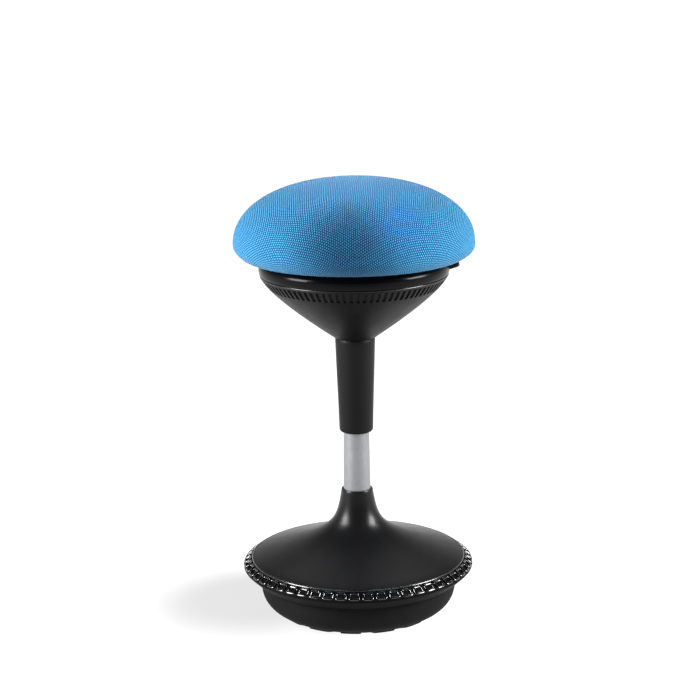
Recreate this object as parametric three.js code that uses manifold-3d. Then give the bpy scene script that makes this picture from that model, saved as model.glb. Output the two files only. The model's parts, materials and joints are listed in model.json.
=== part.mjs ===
// A wobble stool: a round cushion on a gas spring column, and a weighted base that rocks on a domed tread.
// Millimetres, +Z up, the floor at zero, the front towards -Y and the lever towards +X.
import * as THREE from "three";
import { mergeVertices } from "three/addons/utils/BufferGeometryUtils.js";
import Module from "manifold-3d";

const wasm = await Module();
wasm.setup();

// Clearances
const fit = 0.3; // between pieces that touch
const ringFit = 0.6; // between round pieces that have different numbers of facets
const overrun = 1; // how far a cutter passes the surface that it cuts
const strokeEndGap = 2; // left at each end of the gas spring's stroke

// Tread
const treadCrownRadius = 300;
const treadFlatRadius = 43;
const treadInset = 24; // from the bowl's widest place in to the tread's edge
const treadThickness = 5;
const treadProud = 1.7; // below the bowl round it
const treadLugs = 15;
const treadGrooveShare = 0.41; // of the angle from one lug to the next
const treadGrooveStart = 56;

// Base bowl and ballast
const bowlRadius = 140;
const bowlWall = 4;
const bowlShoulderHeight = 56.5;
const bowlHeight = 74;
const bowlBossExtra = 1; // radius that the bowl's screw bosses have over the cover's
const bowlToeReachShare = 0.24;
const bowlShoulderReachShare = 0.52;
const ballastInset = 28; // inside the tread's edge
const ballastHeight = 34;

// Base cover: a shallow dish that sweeps up into a neck round the column
const dishOverhang = 11; // past the bowl's widest place
const dishEdgeRise = 24.5; // above the bowl's rim
const dishSlope = THREE.MathUtils.degToRad(18.6);
const dishReachShare = 0.963; // of the way from the dish's edge in to the collar
const neckSlope = THREE.MathUtils.degToRad(9.1);
const neckReach = 57;
const collarRise = 99; // above the dish's edge
const coverWall = 2.6;
const coverSkirtDrop = 8; // how far the skirt reaches into the bowl

// Rim bumper
const rimOverhang = 14.2; // past the dish's edge
const rimDrop = 12; // from the dish's edge down to the rim's widest place
const rimRound = 4;
const rimLipInset = 0.8; // inside the dish's edge
const rimLipDrop = 28; // below the dish's edge
const rimLinks = 54;
const linkLength = 10.7; // of the opening in one link, round the rim
const linkWidth = 8; // of the opening, across the rim's face
const linkDepth = 1.6;
const linkInset = 6.2; // from the inner edge of the rim's face to the opening

// Column
const columnRadius = 19.4;
const columnTopRadius = 17.4;
const columnBore = 15.9;
const columnHeadroom = 18; // left above the column when the seat is at its lowest
const columnBottom = 17;
const columnFloor = 4;
const columnTaperStartDrop = 8; // below the collar
const columnTaperEndDrop = 90; // below the column's top
const bushLength = 60;
const bushWall = 1.3;
const bushFlange = 2.5;
const socketFlangeRadius = 58;
const socketFlangeThickness = 5;
const socketWall = 6;
const socketHeight = 62;
const socketBoltCircle = 44;
const socketBolts = 4;
const socketBoltRadius = 4;
const socketBossRadius = 8;
const socketBossHeight = 11;

// Gas spring
const cylinderRadius = 14;
const cylinderBore = 12.4;
const cylinderDrop = 1; // below the pan's floor
const cylinderHead = 15;
const cylinderTaperLength = 34;
const cylinderTaper = 0.8; // how much the radius drops over the taper
const glandLength = 13.5;
const rodRadius = 5;
const rodTipRadius = 4;
const rodTipBelow = 5.5; // below the column's floor
const pistonLength = 14;
const pistonStub = 3; // radius of the rod inside the piston
const washerThickness = 1.5;
const washerRadius = 12;
const cageThickness = 2.4;
const cageBalls = 8;
const ballRadius = 2;
const ballCircle = 8.2;
const bufferRadius = 11;
const bufferLength = 14;
const clipRadius = 7.5;
const clipThickness = 1.5;
const clipGroove = 1; // depth of the rod's groove
const valvePinRadius = 3;
const valvePinLength = 19;
const valvePinRest = 5; // what still stands above the cylinder when the pin is pressed

// Stroke of the seat from where the photograph shows it
const strokeDown = 62;
const strokeUp = 192;

// Sleeve
const sleeveGap = 22.8; // left above the collar when the seat is at its lowest
const sleeveBottomRadius = 24;
const sleeveTopRadius = 28.2;
const sleeveWall = 3;
const sleeveLipRound = 4.2;

// Bowl-shaped housing under the seat, and the trim ring over it
const flareStartRadius = 28.4;
const flareStartAngle = THREE.MathUtils.degToRad(49.7);
const flareStartReach = 3;
const flareEndReach = 25.5;
const housingDrop = 114.3; // from the cushion's underside down to the sleeve
const housingWall = 2.5;
const housingLip = 5; // height of the lip inside the ring
const housingSpigot = 14; // length inside the sleeve
const housingSpigotWall = 2;
const ringRadius = 133.5;
const ringGap = 1.8; // from the ring's top up to the cushion
const ringCrown = 15.5;
const ringBand = 8.5; // from the widest place down to the ring's foot
const ringWall = 3;
const ringFlangeRadius = 104;
const ringLugs = 4;
const ringLugWidth = 16;
const ringLugStart = 86;
const ringScrewCircle = 92;
const ribGrooves = 88;
const ribGrooveWidth = 4.2;
const ribDepth = 1.4;
const ribDrop = 2.3; // below the ring's foot
const ribLength = 13.2;

// Cushion
const seatRadius = 167.5;
const seatUnderside = 533.3;
const seatWaistRise = 19.2; // from the underside up to the widest place
const seatCrownRise = 88.5; // from there up to the top
const seatUnderRadius = 147.5;
const seatCrownPower = 2.2;
const seatUnderPower = 1.35;
const clothThickness = 2.2;
const hemRadius = 100;
const boardRadius = 140;
const boardThickness = 12;

// Seat plate
const plateLength = 150;
const plateWidth = 110;
const plateThickness = 3;
const panLength = 90;
const panWidth = 60;
const panWall = 2.5;
const panDepth = 31.5;
const panFloorThickness = 3;
const hubRadius = 20;
const hubLength = 35;
const seatBolts = 4;
const seatBoltRadius = 3;
const seatBoltHeadRadius = 5.5;
const seatBoltX = 62;
const seatBoltY = 42;

// Lever
const leverPivotX = 34;
const leverPivotRise = 5; // above the bracket's floor
const leverWidth = 12;
const leverThickness = 3.5;
const leverBoss = 4.2;
const leverNose = 7; // half the length over the valve pin
const leverArmEnd = 120;
const leverArmRise = 4.8; // from the pivot up to the arm's end
const leverPinRadius = 2;
const leverPinLength = 33;
const leverTravel = THREE.MathUtils.degToRad(3.5);
const bracketEar = 3;
const bracketLength = 13;
const bracketFloor = 2.5;
const paddleWidth = 24;
const paddleThickness = 6;
const paddleStart = 106;
const paddleEnd = 147;
const paddleTip = 4; // how far the tip turns up
const paddleTipLength = 8;
const notchMargin = 2;
const notchDrop = 0.7; // from the grip down to the notch's floor

// Fasteners
const headHeight = 4;
const smallHeadRadius = 4.4;
const boltHeadRadius = 6.5;
const coverScrews = 6;
const coverScrewInset = 12; // inside the tread's edge
const coverScrewRadius = 2.2;
const coverScrewLength = 44;
const coverBossRadius = 6;
const coverBossHeight = 24; // height of the bowl's boss
const ringScrewRadius = 2;
const ringScrewDepth = 8; // into the seat board
const seatBoltDepth = 8;
const teeNutFlangeRadius = 9;
const teeNutFlange = 1.5;
const teeNutWall = 2;

// Facets
const wideSides = 36;
const cushionSides = 36;
const foamSides = cushionSides / 2;
const tubeSides = 22;
const innerSides = 12;
const smallSides = 8;
const ballSides = 4;
const hexSides = 6;
const shortRun = 3;
const sideRun = 5;
const neckRun = 8;
const crownRun = 7;
const fineRun = 54;

// Sizes that follow from the ones above
const crownCentre = Math.sqrt(treadCrownRadius ** 2 - treadFlatRadius ** 2);
const treadRadius = bowlRadius - treadInset;
const ballastRadius = treadRadius - ballastInset;
const coverScrewCircle = treadRadius - coverScrewInset;
const collarRadius = columnRadius + fit + coverWall;
const dishRadius = bowlRadius + dishOverhang;
const dishReach = dishReachShare * (dishRadius - collarRadius);
const dishEdgeHeight = bowlHeight + dishEdgeRise;
const collarHeight = dishEdgeHeight + collarRise;
const rimRadius = dishRadius + rimOverhang;
const rimHeight = dishEdgeHeight - rimDrop;
const rimLipRadius = dishRadius - rimLipInset;
const rimLipHeight = dishEdgeHeight - rimLipDrop;
const boardBottom = seatUnderside + clothThickness + fit;
const boardTop = boardBottom + boardThickness;
const plateTop = boardBottom - fit;
const plateBottom = plateTop - plateThickness;
const panFloor = plateBottom - panDepth;
const panTopOfFloor = panFloor + panFloorThickness;
const hubBottom = panFloor - hubLength;
const cylinderTop = panFloor - cylinderDrop;
const seatWaist = seatUnderside + seatWaistRise;
const seatTop = seatWaist + seatCrownRise;
const ringTop = seatUnderside - ringGap;
const ringShoulderHeight = ringTop - ringCrown;
const ringBottom = ringShoulderHeight - ringBand;
const ribTop = ringBottom - ribDrop;
const ribBottom = ribTop - ribLength;
const sleeveTop = seatUnderside - housingDrop;
const sleeveBottom = collarHeight + strokeDown + sleeveGap;
const columnTop = hubBottom - strokeDown - columnHeadroom;
const columnTaperStart = collarHeight - columnTaperStartDrop;
const columnTaperEnd = columnTop - columnTaperEndDrop;
const bushRadius = columnBore - fit;
const lowerWasherHeight = columnBottom + columnFloor + fit;
const cageHeight = lowerWasherHeight + washerThickness + fit;
const upperWasherHeight = cageHeight + 2 * ballRadius + fit;
const rodShoulder = upperWasherHeight + washerThickness + fit;
const cylinderBottom = rodShoulder + fit + bufferLength + strokeEndGap + strokeDown;
const pistonBottom = cylinderBottom + glandLength + strokeUp + strokeEndGap;
const socketBottom = ballastHeight + fit;
const bowlBore = bowlRadius - bowlWall;
const sleeveInnerSlope = (sleeveTopRadius - sleeveBottomRadius) / (sleeveTop - sleeveBottom);
const spigotRadius = sleeveTopRadius - sleeveWall - ringFit - housingSpigot * sleeveInnerSlope;
const valvePinTop = cylinderTop + valvePinRest + leverPivotX * Math.tan(leverTravel);
const slotFloor = panTopOfFloor + bracketFloor;
const leverPivotHeight = slotFloor + leverPivotRise;
const notchBottom = leverPivotHeight + leverArmRise - paddleThickness / 2 - notchDrop;
const teeNutBarrelRadius = seatBoltRadius + ringFit + teeNutWall;

const looks = {
  cloth: look(0x62b2de, 0.9, 0),
  foam: look(0xe8dfc4, 0.95, 0),
  board: look(0xc49a62, 0.8, 0),
  blackSatin: look(0x1d1e20, 0.5, 0),
  blackGloss: look(0x101114, 0.22, 0),
  rubber: look(0x19191b, 0.8, 0),
  silver: look(0xb9bbbe, 0.35, 0.9),
  steel: look(0x8d9095, 0.4, 1),
  darkSteel: look(0x3d4043, 0.5, 0.8),
  iron: look(0x4a4a4a, 0.7, 0.7),
  white: look(0xe4e4e0, 0.5, 0),
};

function look(color, roughness, metalness) {
  return new THREE.MeshStandardMaterial({ color, roughness, metalness });
}

function point(radius, height) {
  return new THREE.Vector2(radius, height);
}

// A closed outline in radius and height, turned about the vertical axis
function turned(outline, sides) {
  const profile = THREE.ShapeUtils.area(outline) > 0 ? [...outline] : [...outline].reverse();
  const closes = profile[0].x > 0 || profile.at(-1).x > 0;
  if (closes) profile.push(profile[0].clone());
  return solid(new THREE.LatheGeometry(profile, sides).rotateX(Math.PI / 2));
}

function solid(geometry) {
  const bare = geometry.clone();
  bare.deleteAttribute("normal");
  bare.deleteAttribute("uv");
  const merged = mergeVertices(bare);
  return new wasm.Manifold(
    new wasm.Mesh({
      numProp: 3,
      vertProperties: merged.attributes.position.array,
      triVerts: merged.index.array,
    }),
  );
}

function piece(name, made, material) {
  const mesh = made.getMesh();
  const indexed = new THREE.BufferGeometry();
  indexed.setAttribute("position", new THREE.BufferAttribute(mesh.vertProperties, 3));
  indexed.setIndex(new THREE.BufferAttribute(mesh.triVerts, 1));
  const geometry = indexed.toNonIndexed();
  geometry.computeVertexNormals();
  const result = new THREE.Mesh(geometry, material);
  result.name = name;
  return result;
}

// An upright post or cone that stands at the given bottom height
function post(bottomRadius, topRadius, bottom, top, sides = smallSides) {
  const geometry = new THREE.CylinderGeometry(topRadius, bottomRadius, top - bottom, sides);
  return solid(geometry.rotateX(Math.PI / 2).translate(0, 0, (top + bottom) / 2));
}

function bar(radius, bottom, top, sides = smallSides) {
  return post(radius, radius, bottom, top, sides);
}

function tube(outer, inner, bottom, top, sides) {
  const outline = [point(inner, bottom), point(outer, bottom), point(outer, top), point(inner, top)];
  return turned(outline, sides);
}

function block(length, width, bottom, top) {
  const geometry = new THREE.BoxGeometry(length, width, top - bottom);
  return solid(geometry.translate(0, 0, (top + bottom) / 2));
}

// A slab of a side view in x and height, as wide as given and centred on the x axis
function slab(outline, width) {
  const options = { depth: width, bevelEnabled: false };
  const geometry = new THREE.ExtrudeGeometry(new THREE.Shape(outline), options);
  return solid(geometry.rotateX(Math.PI / 2).translate(0, width / 2, 0));
}

// Moves a run of points to the left of the way it goes
function shifted(run, distance) {
  return run.map((here, i) => {
    const before = run[Math.max(i - 1, 0)];
    const after = run[Math.min(i + 1, run.length - 1)];
    const along = after.clone().sub(before).normalize();
    return point(here.x - along.y * distance, here.y + along.x * distance);
  });
}

function between(value, from, to, low, high) {
  return low + ((high - low) * (value - from)) / (to - from);
}

// The height of a run at a radius
function heightOf(run, radius) {
  for (let i = 1; i < run.length; i++) {
    const [a, b] = [run[i - 1], run[i]];
    const inside = (a.x - radius) * (b.x - radius) <= 0 && a.x !== b.x;
    if (inside) return between(radius, a.x, b.x, a.y, b.y);
  }
  return run.at(-1).y;
}

// The radius of a run at a height
function radiusOf(run, height) {
  const swapped = run.map((p) => point(p.y, p.x));
  return heightOf(swapped, height);
}

function aroundAxis(count, make, turn = 0) {
  const angles = Array.from({ length: count }, (_, i) => turn + (i * 2 * Math.PI) / count);
  return angles.map(make);
}

function placed(made, radius, angle) {
  return made.translate([radius, 0, 0]).rotate([0, 0, THREE.MathUtils.radToDeg(angle)]);
}

function joined(list) {
  return list.reduce((sum, next) => sum.add(next));
}

// Copies of a solid in a ring about the axis, joined into one
function ringOf(made, count, radius, turn = 0) {
  return joined(aroundAxis(count, (angle) => placed(made, radius, angle), turn));
}

// Half of the angle between two of a ring's pieces
function halfStep(count) {
  return Math.PI / count;
}

// A headed fastener whose head stands on height zero, with its shank below
function fastener(headRadius, shankRadius, length, sides) {
  return bar(headRadius, 0, headHeight, sides).add(bar(shankRadius, -length, headHeight / 2));
}

// Fasteners in a ring, head up
function fastenerRing(name, made, count, radius, height, turn = 0) {
  return aroundAxis(
    count,
    (angle, i) => {
      const screw = piece(`${name}_${i + 1}`, made, looks.steel);
      screw.position.set(radius * Math.cos(angle), radius * Math.sin(angle), height);
      return screw;
    },
    turn,
  );
}

function headDown(screws) {
  screws.forEach((screw) => screw.rotateX(Math.PI));
  return screws;
}

// The domed underside of the base, or a skin inside it
function crownHeight(radius, inset = 0) {
  return crownCentre - Math.sqrt((treadCrownRadius - inset) ** 2 - radius ** 2);
}

function crownRunPoints(from, to, inset, steps) {
  return Array.from({ length: steps + 1 }, (_, i) => {
    const radius = between(i, 0, steps, from, to);
    return point(radius, crownHeight(radius, inset));
  });
}

function treadPad() {
  const outside = crownRunPoints(treadFlatRadius, treadRadius, 0, shortRun);
  const inside = crownRunPoints(0, treadRadius, treadThickness, shortRun).reverse();
  const pad = turned([point(0, 0), ...outside, ...inside], 2 * treadLugs);
  const wedges = ringOf(treadWedge(), treadLugs, 0, halfStep(treadLugs));
  return piece("tread_pad", pad.subtract(treadGrooveRoom().intersect(wedges)), looks.rubber);
}

// The space below the floors of the tread's grooves, all round
function treadGrooveRoom() {
  const end = treadRadius + overrun;
  const floor = crownRunPoints(treadGrooveStart, end, treadProud, shortRun).reverse();
  return turned([point(treadGrooveStart, -overrun), point(end, -overrun), ...floor], 2 * treadLugs);
}

// A wedge that widens outwards, as broad as one groove
function treadWedge() {
  const half = treadGrooveShare * halfStep(treadLugs);
  const reach = treadRadius + 2 * treadThickness;
  const near = treadGrooveStart - treadThickness;
  const top = new THREE.Shape([
    point(near, -near * Math.tan(half)),
    point(reach, -reach * Math.tan(half)),
    point(reach, reach * Math.tan(half)),
    point(near, near * Math.tan(half)),
  ]);
  const geometry = new THREE.ExtrudeGeometry(top, { depth: bowlHeight, bevelEnabled: false });
  return solid(geometry.translate(0, 0, -2 * overrun));
}

function bowlSide() {
  const start = treadRadius + ringFit;
  const toe = point(start, crownHeight(start, treadProud));
  const slope = Math.asin(start / treadCrownRadius);
  const rise = bowlShoulderHeight - toe.y;
  const reach = rise * bowlToeReachShare;
  const toeControl = point(toe.x + reach * Math.cos(slope), toe.y + reach * Math.sin(slope));
  const shoulderControl = point(bowlRadius, bowlShoulderHeight - rise * bowlShoulderReachShare);
  const shoulder = point(bowlRadius, bowlShoulderHeight);
  const curve = new THREE.CubicBezierCurve(toe, toeControl, shoulderControl, shoulder);
  return curve.getPoints(sideRun);
}

function baseBowl() {
  const recess = treadThickness + fit;
  const under = crownRunPoints(0, treadRadius + ringFit, recess, shortRun);
  const side = bowlSide();
  const inside = shifted(side, bowlWall).filter((_, i) => i % 2 === 1);
  const floor = bowlFloor().reverse();
  const rim = [point(bowlRadius, bowlHeight), point(bowlBore, bowlHeight)];
  const shell = turned([...under, ...side, ...rim, ...inside.reverse(), ...floor], wideSides);
  const screwBoss = bowlBoss(coverScrewCircle, coverBossRadius + bowlBossExtra, coverBossHeight);
  const socketBoss = bowlBoss(socketBoltCircle, socketBossRadius, socketBossHeight);
  const bosses = ringOf(screwBoss, coverScrews, coverScrewCircle).add(ringOfSocketBolts(socketBoss));
  const screwHole = bar(coverScrewRadius + ringFit, 0, bowlHeight).add(
    bar(smallHeadRadius + ringFit, 0, coverScrewSeat()),
  );
  const boltTop = bowlBossTop(socketBoltCircle, socketBossHeight);
  const boltHole = bar(socketBoltRadius + ringFit, boltTop - socketBossHeight, boltTop + overrun);
  const holes = ringOf(screwHole, coverScrews, coverScrewCircle).add(ringOfSocketBolts(boltHole));
  return piece("base_bowl", shell.add(bosses).subtract(holes), looks.blackSatin);
}

function ringOfSocketBolts(made) {
  return ringOf(made, socketBolts, socketBoltCircle, halfStep(socketBolts));
}

// The top of the bowl's floor, from the axis outwards
function bowlFloor() {
  return crownRunPoints(0, treadRadius - bowlWall, treadThickness + fit + bowlWall, shortRun);
}

// A boss that stands on the bowl's floor, sunk into it so that the two are one piece
function bowlBoss(circle, radius, height) {
  const bottom = crownHeight(circle + radius, treadThickness + fit) + bowlWall / 2;
  return bar(radius, bottom, bowlBossTop(circle, height));
}

function bowlBossTop(circle, height) {
  return crownHeight(circle, treadThickness + fit) + bowlWall + height;
}

// Where the head of a cover screw seats, under the tread
function coverScrewSeat() {
  const recess = crownHeight(coverScrewCircle + smallHeadRadius, treadThickness + fit);
  return recess + headHeight + 2 * fit;
}

function ballastDisc() {
  const hole = columnRadius + fit;
  const floor = bowlFloor().filter((p) => p.x > hole && p.x < ballastRadius);
  const ends = [hole, ballastRadius].map((radius) => point(radius, heightOf(bowlFloor(), radius)));
  const under = [ends[0], ...floor, ends[1]].map((p) => point(p.x, p.y + fit));
  const top = [point(ballastRadius, ballastHeight), point(hole, ballastHeight)];
  const disc = turned([...under, ...top], wideSides / 2);
  const well = bar(socketBossRadius + ringFit, 0, ballastHeight + overrun);
  return piece("ballast_disc", disc.subtract(ringOfSocketBolts(well)), looks.iron);
}

function dishRun() {
  const edge = point(dishRadius, dishEdgeHeight);
  const edgeControl = point(
    edge.x - dishReach * Math.cos(dishSlope),
    edge.y + dishReach * Math.sin(dishSlope),
  );
  const neckControl = point(
    collarRadius + neckReach * Math.sin(neckSlope),
    collarHeight - neckReach * Math.cos(neckSlope),
  );
  const collar = point(collarRadius, collarHeight);
  const curve = new THREE.CubicBezierCurve(edge, edgeControl, neckControl, collar);
  return curve.getPoints(neckRun);
}

// The underside of the cover, from its edge to its collar
function dishUnderside() {
  const run = shifted(dishRun(), coverWall).filter((_, i) => i % 2 === 0);
  run[0] = point(dishRadius, dishEdgeHeight - coverWall);
  run[run.length - 1] = point(columnRadius + fit, collarHeight);
  return run;
}

function baseCover() {
  const under = dishUnderside();
  const skirtOuter = bowlBore - fit;
  const skirtInner = skirtOuter - coverWall;
  const skirtBottom = bowlHeight - coverSkirtDrop;
  const lip = under.filter((p) => p.x > skirtOuter);
  const roof = under.filter((p) => p.x < skirtInner);
  const skirt = [
    point(skirtOuter, heightOf(under, skirtOuter)),
    point(skirtOuter, skirtBottom),
    point(skirtInner, skirtBottom),
    point(skirtInner, heightOf(under, skirtInner)),
  ];
  const shell = turned([...dishRun().reverse(), ...lip, ...skirt, ...roof], wideSides);
  const bosses = ringOf(coverBoss(under), coverScrews, coverScrewCircle);
  return piece("base_cover", shell.add(bosses), looks.blackSatin);
}

// A boss that hangs from the cover's underside and rests on the bowl's boss
function coverBoss(under) {
  const bottom = bowlBossTop(coverScrewCircle, coverBossHeight) + fit;
  const top = heightOf(under, coverScrewCircle + coverBossRadius) + coverWall / 2;
  const screwTip = coverScrewSeat() + coverScrewLength;
  const bore = bar(coverScrewRadius + ringFit, bottom - overrun, screwTip + fit);
  return bar(coverBossRadius, bottom, top).subtract(bore);
}

// The sloping face of the rim, from its outer end to the dish
function rimFace() {
  const inner = point(dishRadius + ringFit, dishEdgeHeight - fit);
  const centre = point(rimRadius - rimRound, rimHeight);
  const across = inner.clone().sub(centre);
  const angle = across.angle() - Math.acos(rimRound / across.length());
  const outer = centre.clone().add(point(rimRound * Math.cos(angle), rimRound * Math.sin(angle)));
  return { inner, outer, centre, angle };
}

function rimBumper() {
  const face = rimFace();
  const under = dishUnderside();
  const web = bowlBore + ringFit - fit;
  const outline = [
    point(web, bowlHeight + fit),
    point(bowlRadius + ringFit, bowlHeight + fit),
    point(bowlRadius + ringFit, rimLipHeight),
    ...rimUnderside(face),
    face.inner,
    point(face.inner.x, heightOf(under, dishRadius) - ringFit),
    point(web, heightOf(under, web) - fit),
  ];
  const ring = turned(outline, rimLinks);
  const pockets = ringOf(linkPocket(face), rimLinks, 0, halfStep(rimLinks));
  return piece("rim_bumper", ring.subtract(pockets), looks.blackGloss);
}

// From the rim's lip to the outer end of its face, round the widest place
function rimUnderside(face) {
  const lip = point(rimLipRadius, rimLipHeight);
  const down = lip.clone().sub(face.centre);
  const start = down.angle() + Math.acos(rimRound / down.length()) - 2 * Math.PI;
  const { x, y } = face.centre;
  const round = new THREE.EllipseCurve(x, y, rimRound, rimRound, start, face.angle);
  return [lip, ...round.getPoints(shortRun - 1)];
}

// The opening in one link of the chain pattern on the rim's face
function linkPocket(face) {
  const slope = face.inner.clone().sub(face.outer);
  const flat = Math.cos(halfStep(rimLinks)); // from the corners of the facets to their middle
  const reach = (linkInset + linkWidth / 2) / slope.length();
  const middle = face.inner.clone().lerp(face.outer, reach);
  const pocket = block(linkWidth, linkLength, -linkDepth, overrun);
  const tilt = THREE.MathUtils.radToDeg(Math.PI - slope.angle());
  return pocket.rotate([0, tilt, 0]).translate([middle.x * flat, 0, middle.y]);
}

function columnTube() {
  const outline = [
    point(rodTipRadius + fit, columnBottom),
    point(columnRadius, columnBottom),
    point(columnRadius, columnTaperStart),
    point(columnTopRadius, columnTaperEnd),
    point(columnTopRadius, columnTop),
    point(columnBore, columnTop),
    point(columnBore, columnBottom + columnFloor),
    point(rodTipRadius + fit, columnBottom + columnFloor),
  ];
  return piece("column_tube", turned(outline, tubeSides), looks.silver);
}

function columnSocket() {
  const bore = columnRadius + fit;
  const flangeTop = socketBottom + socketFlangeThickness;
  const flange = tube(socketFlangeRadius, bore, socketBottom, flangeTop, tubeSides);
  const hub = tube(bore + socketWall, bore, socketBottom, socketBottom + socketHeight, tubeSides);
  const holes = ringOfSocketBolts(bar(socketBoltRadius + ringFit, 0, bowlHeight));
  return piece("column_socket", flange.add(hub).subtract(holes), looks.darkSteel);
}

function socketBoltPieces() {
  const seat = socketBottom + socketFlangeThickness + fit;
  const bossFloor = bowlBossTop(socketBoltCircle, 0);
  const made = fastener(boltHeadRadius, socketBoltRadius, seat - bossFloor - fit, hexSides);
  const turn = halfStep(socketBolts);
  return fastenerRing("socket_bolt", made, socketBolts, socketBoltCircle, seat, turn);
}

function coverScrewPieces() {
  const made = fastener(smallHeadRadius, coverScrewRadius, coverScrewLength, smallSides);
  const seat = coverScrewSeat() - fit;
  return headDown(fastenerRing("cover_screw", made, coverScrews, coverScrewCircle, seat));
}

function guideBush() {
  const bottom = columnTop - bushLength;
  const outline = [
    point(bushRadius - bushWall, bottom),
    point(bushRadius, bottom),
    point(bushRadius, columnTop + fit),
    point(columnTopRadius, columnTop + fit),
    point(columnTopRadius, columnTop + fit + bushFlange),
    point(bushRadius - bushWall, columnTop + fit + bushFlange),
  ];
  return piece("guide_bush", turned(outline, tubeSides), looks.white);
}

function thrustWasher(name, bottom) {
  const made = tube(washerRadius, rodTipRadius + fit, bottom, bottom + washerThickness, innerSides);
  return piece(name, made, looks.steel);
}

function ballCage() {
  const middle = cageHeight + ballRadius;
  const half = cageThickness / 2;
  const ring = tube(washerRadius - fit, rodTipRadius + fit, middle - half, middle + half, innerSides);
  const sphere = new THREE.SphereGeometry(ballRadius, hexSides, ballSides).rotateX(Math.PI / 2);
  const balls = ringOf(solid(sphere.translate(0, 0, middle)), cageBalls, ballCircle);
  return piece("ball_cage", ring.add(balls), looks.steel);
}

function rubberBuffer() {
  const bottom = rodShoulder + fit;
  const made = tube(bufferRadius, rodRadius + fit, bottom, bottom + bufferLength, innerSides);
  return piece("rubber_buffer", made, looks.rubber);
}

// The rod: a shoulder on the thrust bearing, a tip with a groove for the clip, and a stub in the piston
function pistonRod() {
  const tip = columnBottom - rodTipBelow;
  const grooveTop = columnBottom - fit;
  const grooveBottom = grooveTop - clipThickness - 2 * fit;
  const neck = rodTipRadius - clipGroove;
  const outline = [
    point(0, tip),
    point(rodTipRadius, tip),
    point(rodTipRadius, grooveBottom),
    point(neck, grooveBottom),
    point(neck, grooveTop),
    point(rodTipRadius, grooveTop),
    point(rodTipRadius, rodShoulder),
    point(rodRadius, rodShoulder),
    point(rodRadius, pistonBottom),
    point(pistonStub, pistonBottom),
    point(pistonStub, pistonBottom + pistonLength),
    point(0, pistonBottom + pistonLength),
  ];
  return piece("piston_rod", turned(outline, innerSides), looks.steel);
}

function piston() {
  const bottom = pistonBottom + fit;
  const made = tube(cylinderBore - fit, pistonStub + fit, bottom, bottom + pistonLength, innerSides);
  return piece("piston", made, looks.white);
}

function retainingClip() {
  const top = columnBottom - 2 * fit;
  const inner = rodTipRadius - clipGroove + fit;
  const ring = tube(clipRadius, inner, top - clipThickness, top, innerSides);
  const mouth = block(clipRadius + overrun, inner, top - clipThickness - overrun, top + overrun);
  const made = ring.subtract(mouth.translate([(clipRadius + overrun) / 2, 0, 0]));
  return piece("retaining_clip", made, looks.darkSteel);
}

// A closed head with a hole for the valve pin, and an open lower end
function gasCylinder() {
  const boreTop = cylinderTop - cylinderHead;
  const pinHole = valvePinRadius + fit;
  const outline = [
    point(cylinderBore, cylinderBottom),
    point(cylinderRadius, cylinderBottom),
    point(cylinderRadius, cylinderTop - cylinderTaperLength),
    point(cylinderRadius - cylinderTaper, cylinderTop),
    point(pinHole, cylinderTop),
    point(pinHole, boreTop),
    point(cylinderBore, boreTop),
  ];
  return piece("gas_cylinder", turned(outline, tubeSides), looks.darkSteel);
}

function rodGland() {
  const top = cylinderBottom + glandLength;
  const made = tube(cylinderBore - fit, rodRadius + fit, cylinderBottom, top, innerSides);
  return piece("rod_gland", made, looks.white);
}

function valvePin() {
  const made = bar(valvePinRadius, valvePinTop - valvePinLength, valvePinTop);
  return piece("valve_pin", made, looks.steel);
}

function sleeve() {
  const round = sleeveLipRound;
  const inner = sleeveBottomRadius - round;
  const lip = new THREE.EllipseCurve(inner, sleeveBottom + round, round, round, -Math.PI / 2, 0);
  const outline = [
    ...lip.getPoints(shortRun),
    point(sleeveTopRadius, sleeveTop),
    point(sleeveTopRadius - sleeveWall, sleeveTop),
    point(sleeveBottomRadius - sleeveWall, sleeveBottom + 2 * round),
    point(inner, sleeveBottom + round),
  ];
  return piece("sleeve", turned(outline, tubeSides), looks.blackSatin);
}

// The bowl-shaped flare from the sleeve to the shoulder of the ring
function flareRun() {
  const start = point(flareStartRadius, sleeveTop + fit);
  const startControl = point(
    start.x + flareStartReach * Math.sin(flareStartAngle),
    start.y + flareStartReach * Math.cos(flareStartAngle),
  );
  const end = point(ringRadius, ringShoulderHeight);
  const endControl = point(ringRadius, ringShoulderHeight - flareEndReach);
  const curve = new THREE.CubicBezierCurve(start, startControl, endControl, end);
  return curve.getPoints(fineRun);
}

// The part of a run between two heights, in a few steps
function stretch(run, bottom, top, steps) {
  return Array.from({ length: steps + 1 }, (_, i) => {
    const height = between(i, 0, steps, bottom, top);
    return point(radiusOf(run, height), height);
  });
}

function bowlHousing() {
  const flare = flareRun();
  const inside = shifted(flare, housingWall);
  const top = ringBottom - fit;
  const bottom = sleeveTop + fit;
  const lipOuter = radiusOf(flare, ringBottom) - ringWall - fit;
  const lipInner = lipOuter - housingWall;
  const spigotInner = spigotRadius - housingSpigotWall;
  const ribMargin = (top - ribTop) / 2;
  const outline = [
    point(spigotInner, bottom - housingSpigot),
    point(spigotRadius, bottom - housingSpigot),
    point(spigotRadius, bottom),
    ...stretch(flare, bottom, ribBottom - ribMargin, shortRun),
    ...stretch(flare, ribTop + ribMargin, top, 1),
    point(lipOuter, top),
    point(lipOuter, top + housingLip),
    point(lipInner, top + housingLip),
    point(lipInner, ribTop + ribMargin),
    ...stretch(inside, bottom + 2 * housingWall, ribBottom - ribMargin, shortRun).reverse(),
    point(spigotInner, bottom),
  ];
  const shell = turned(outline, wideSides);
  const grooves = ringOf(ribGroove(flare), ribGrooves, 0, halfStep(ribGrooves));
  return piece("bowl_housing", shell.subtract(grooves), looks.blackSatin);
}

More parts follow.
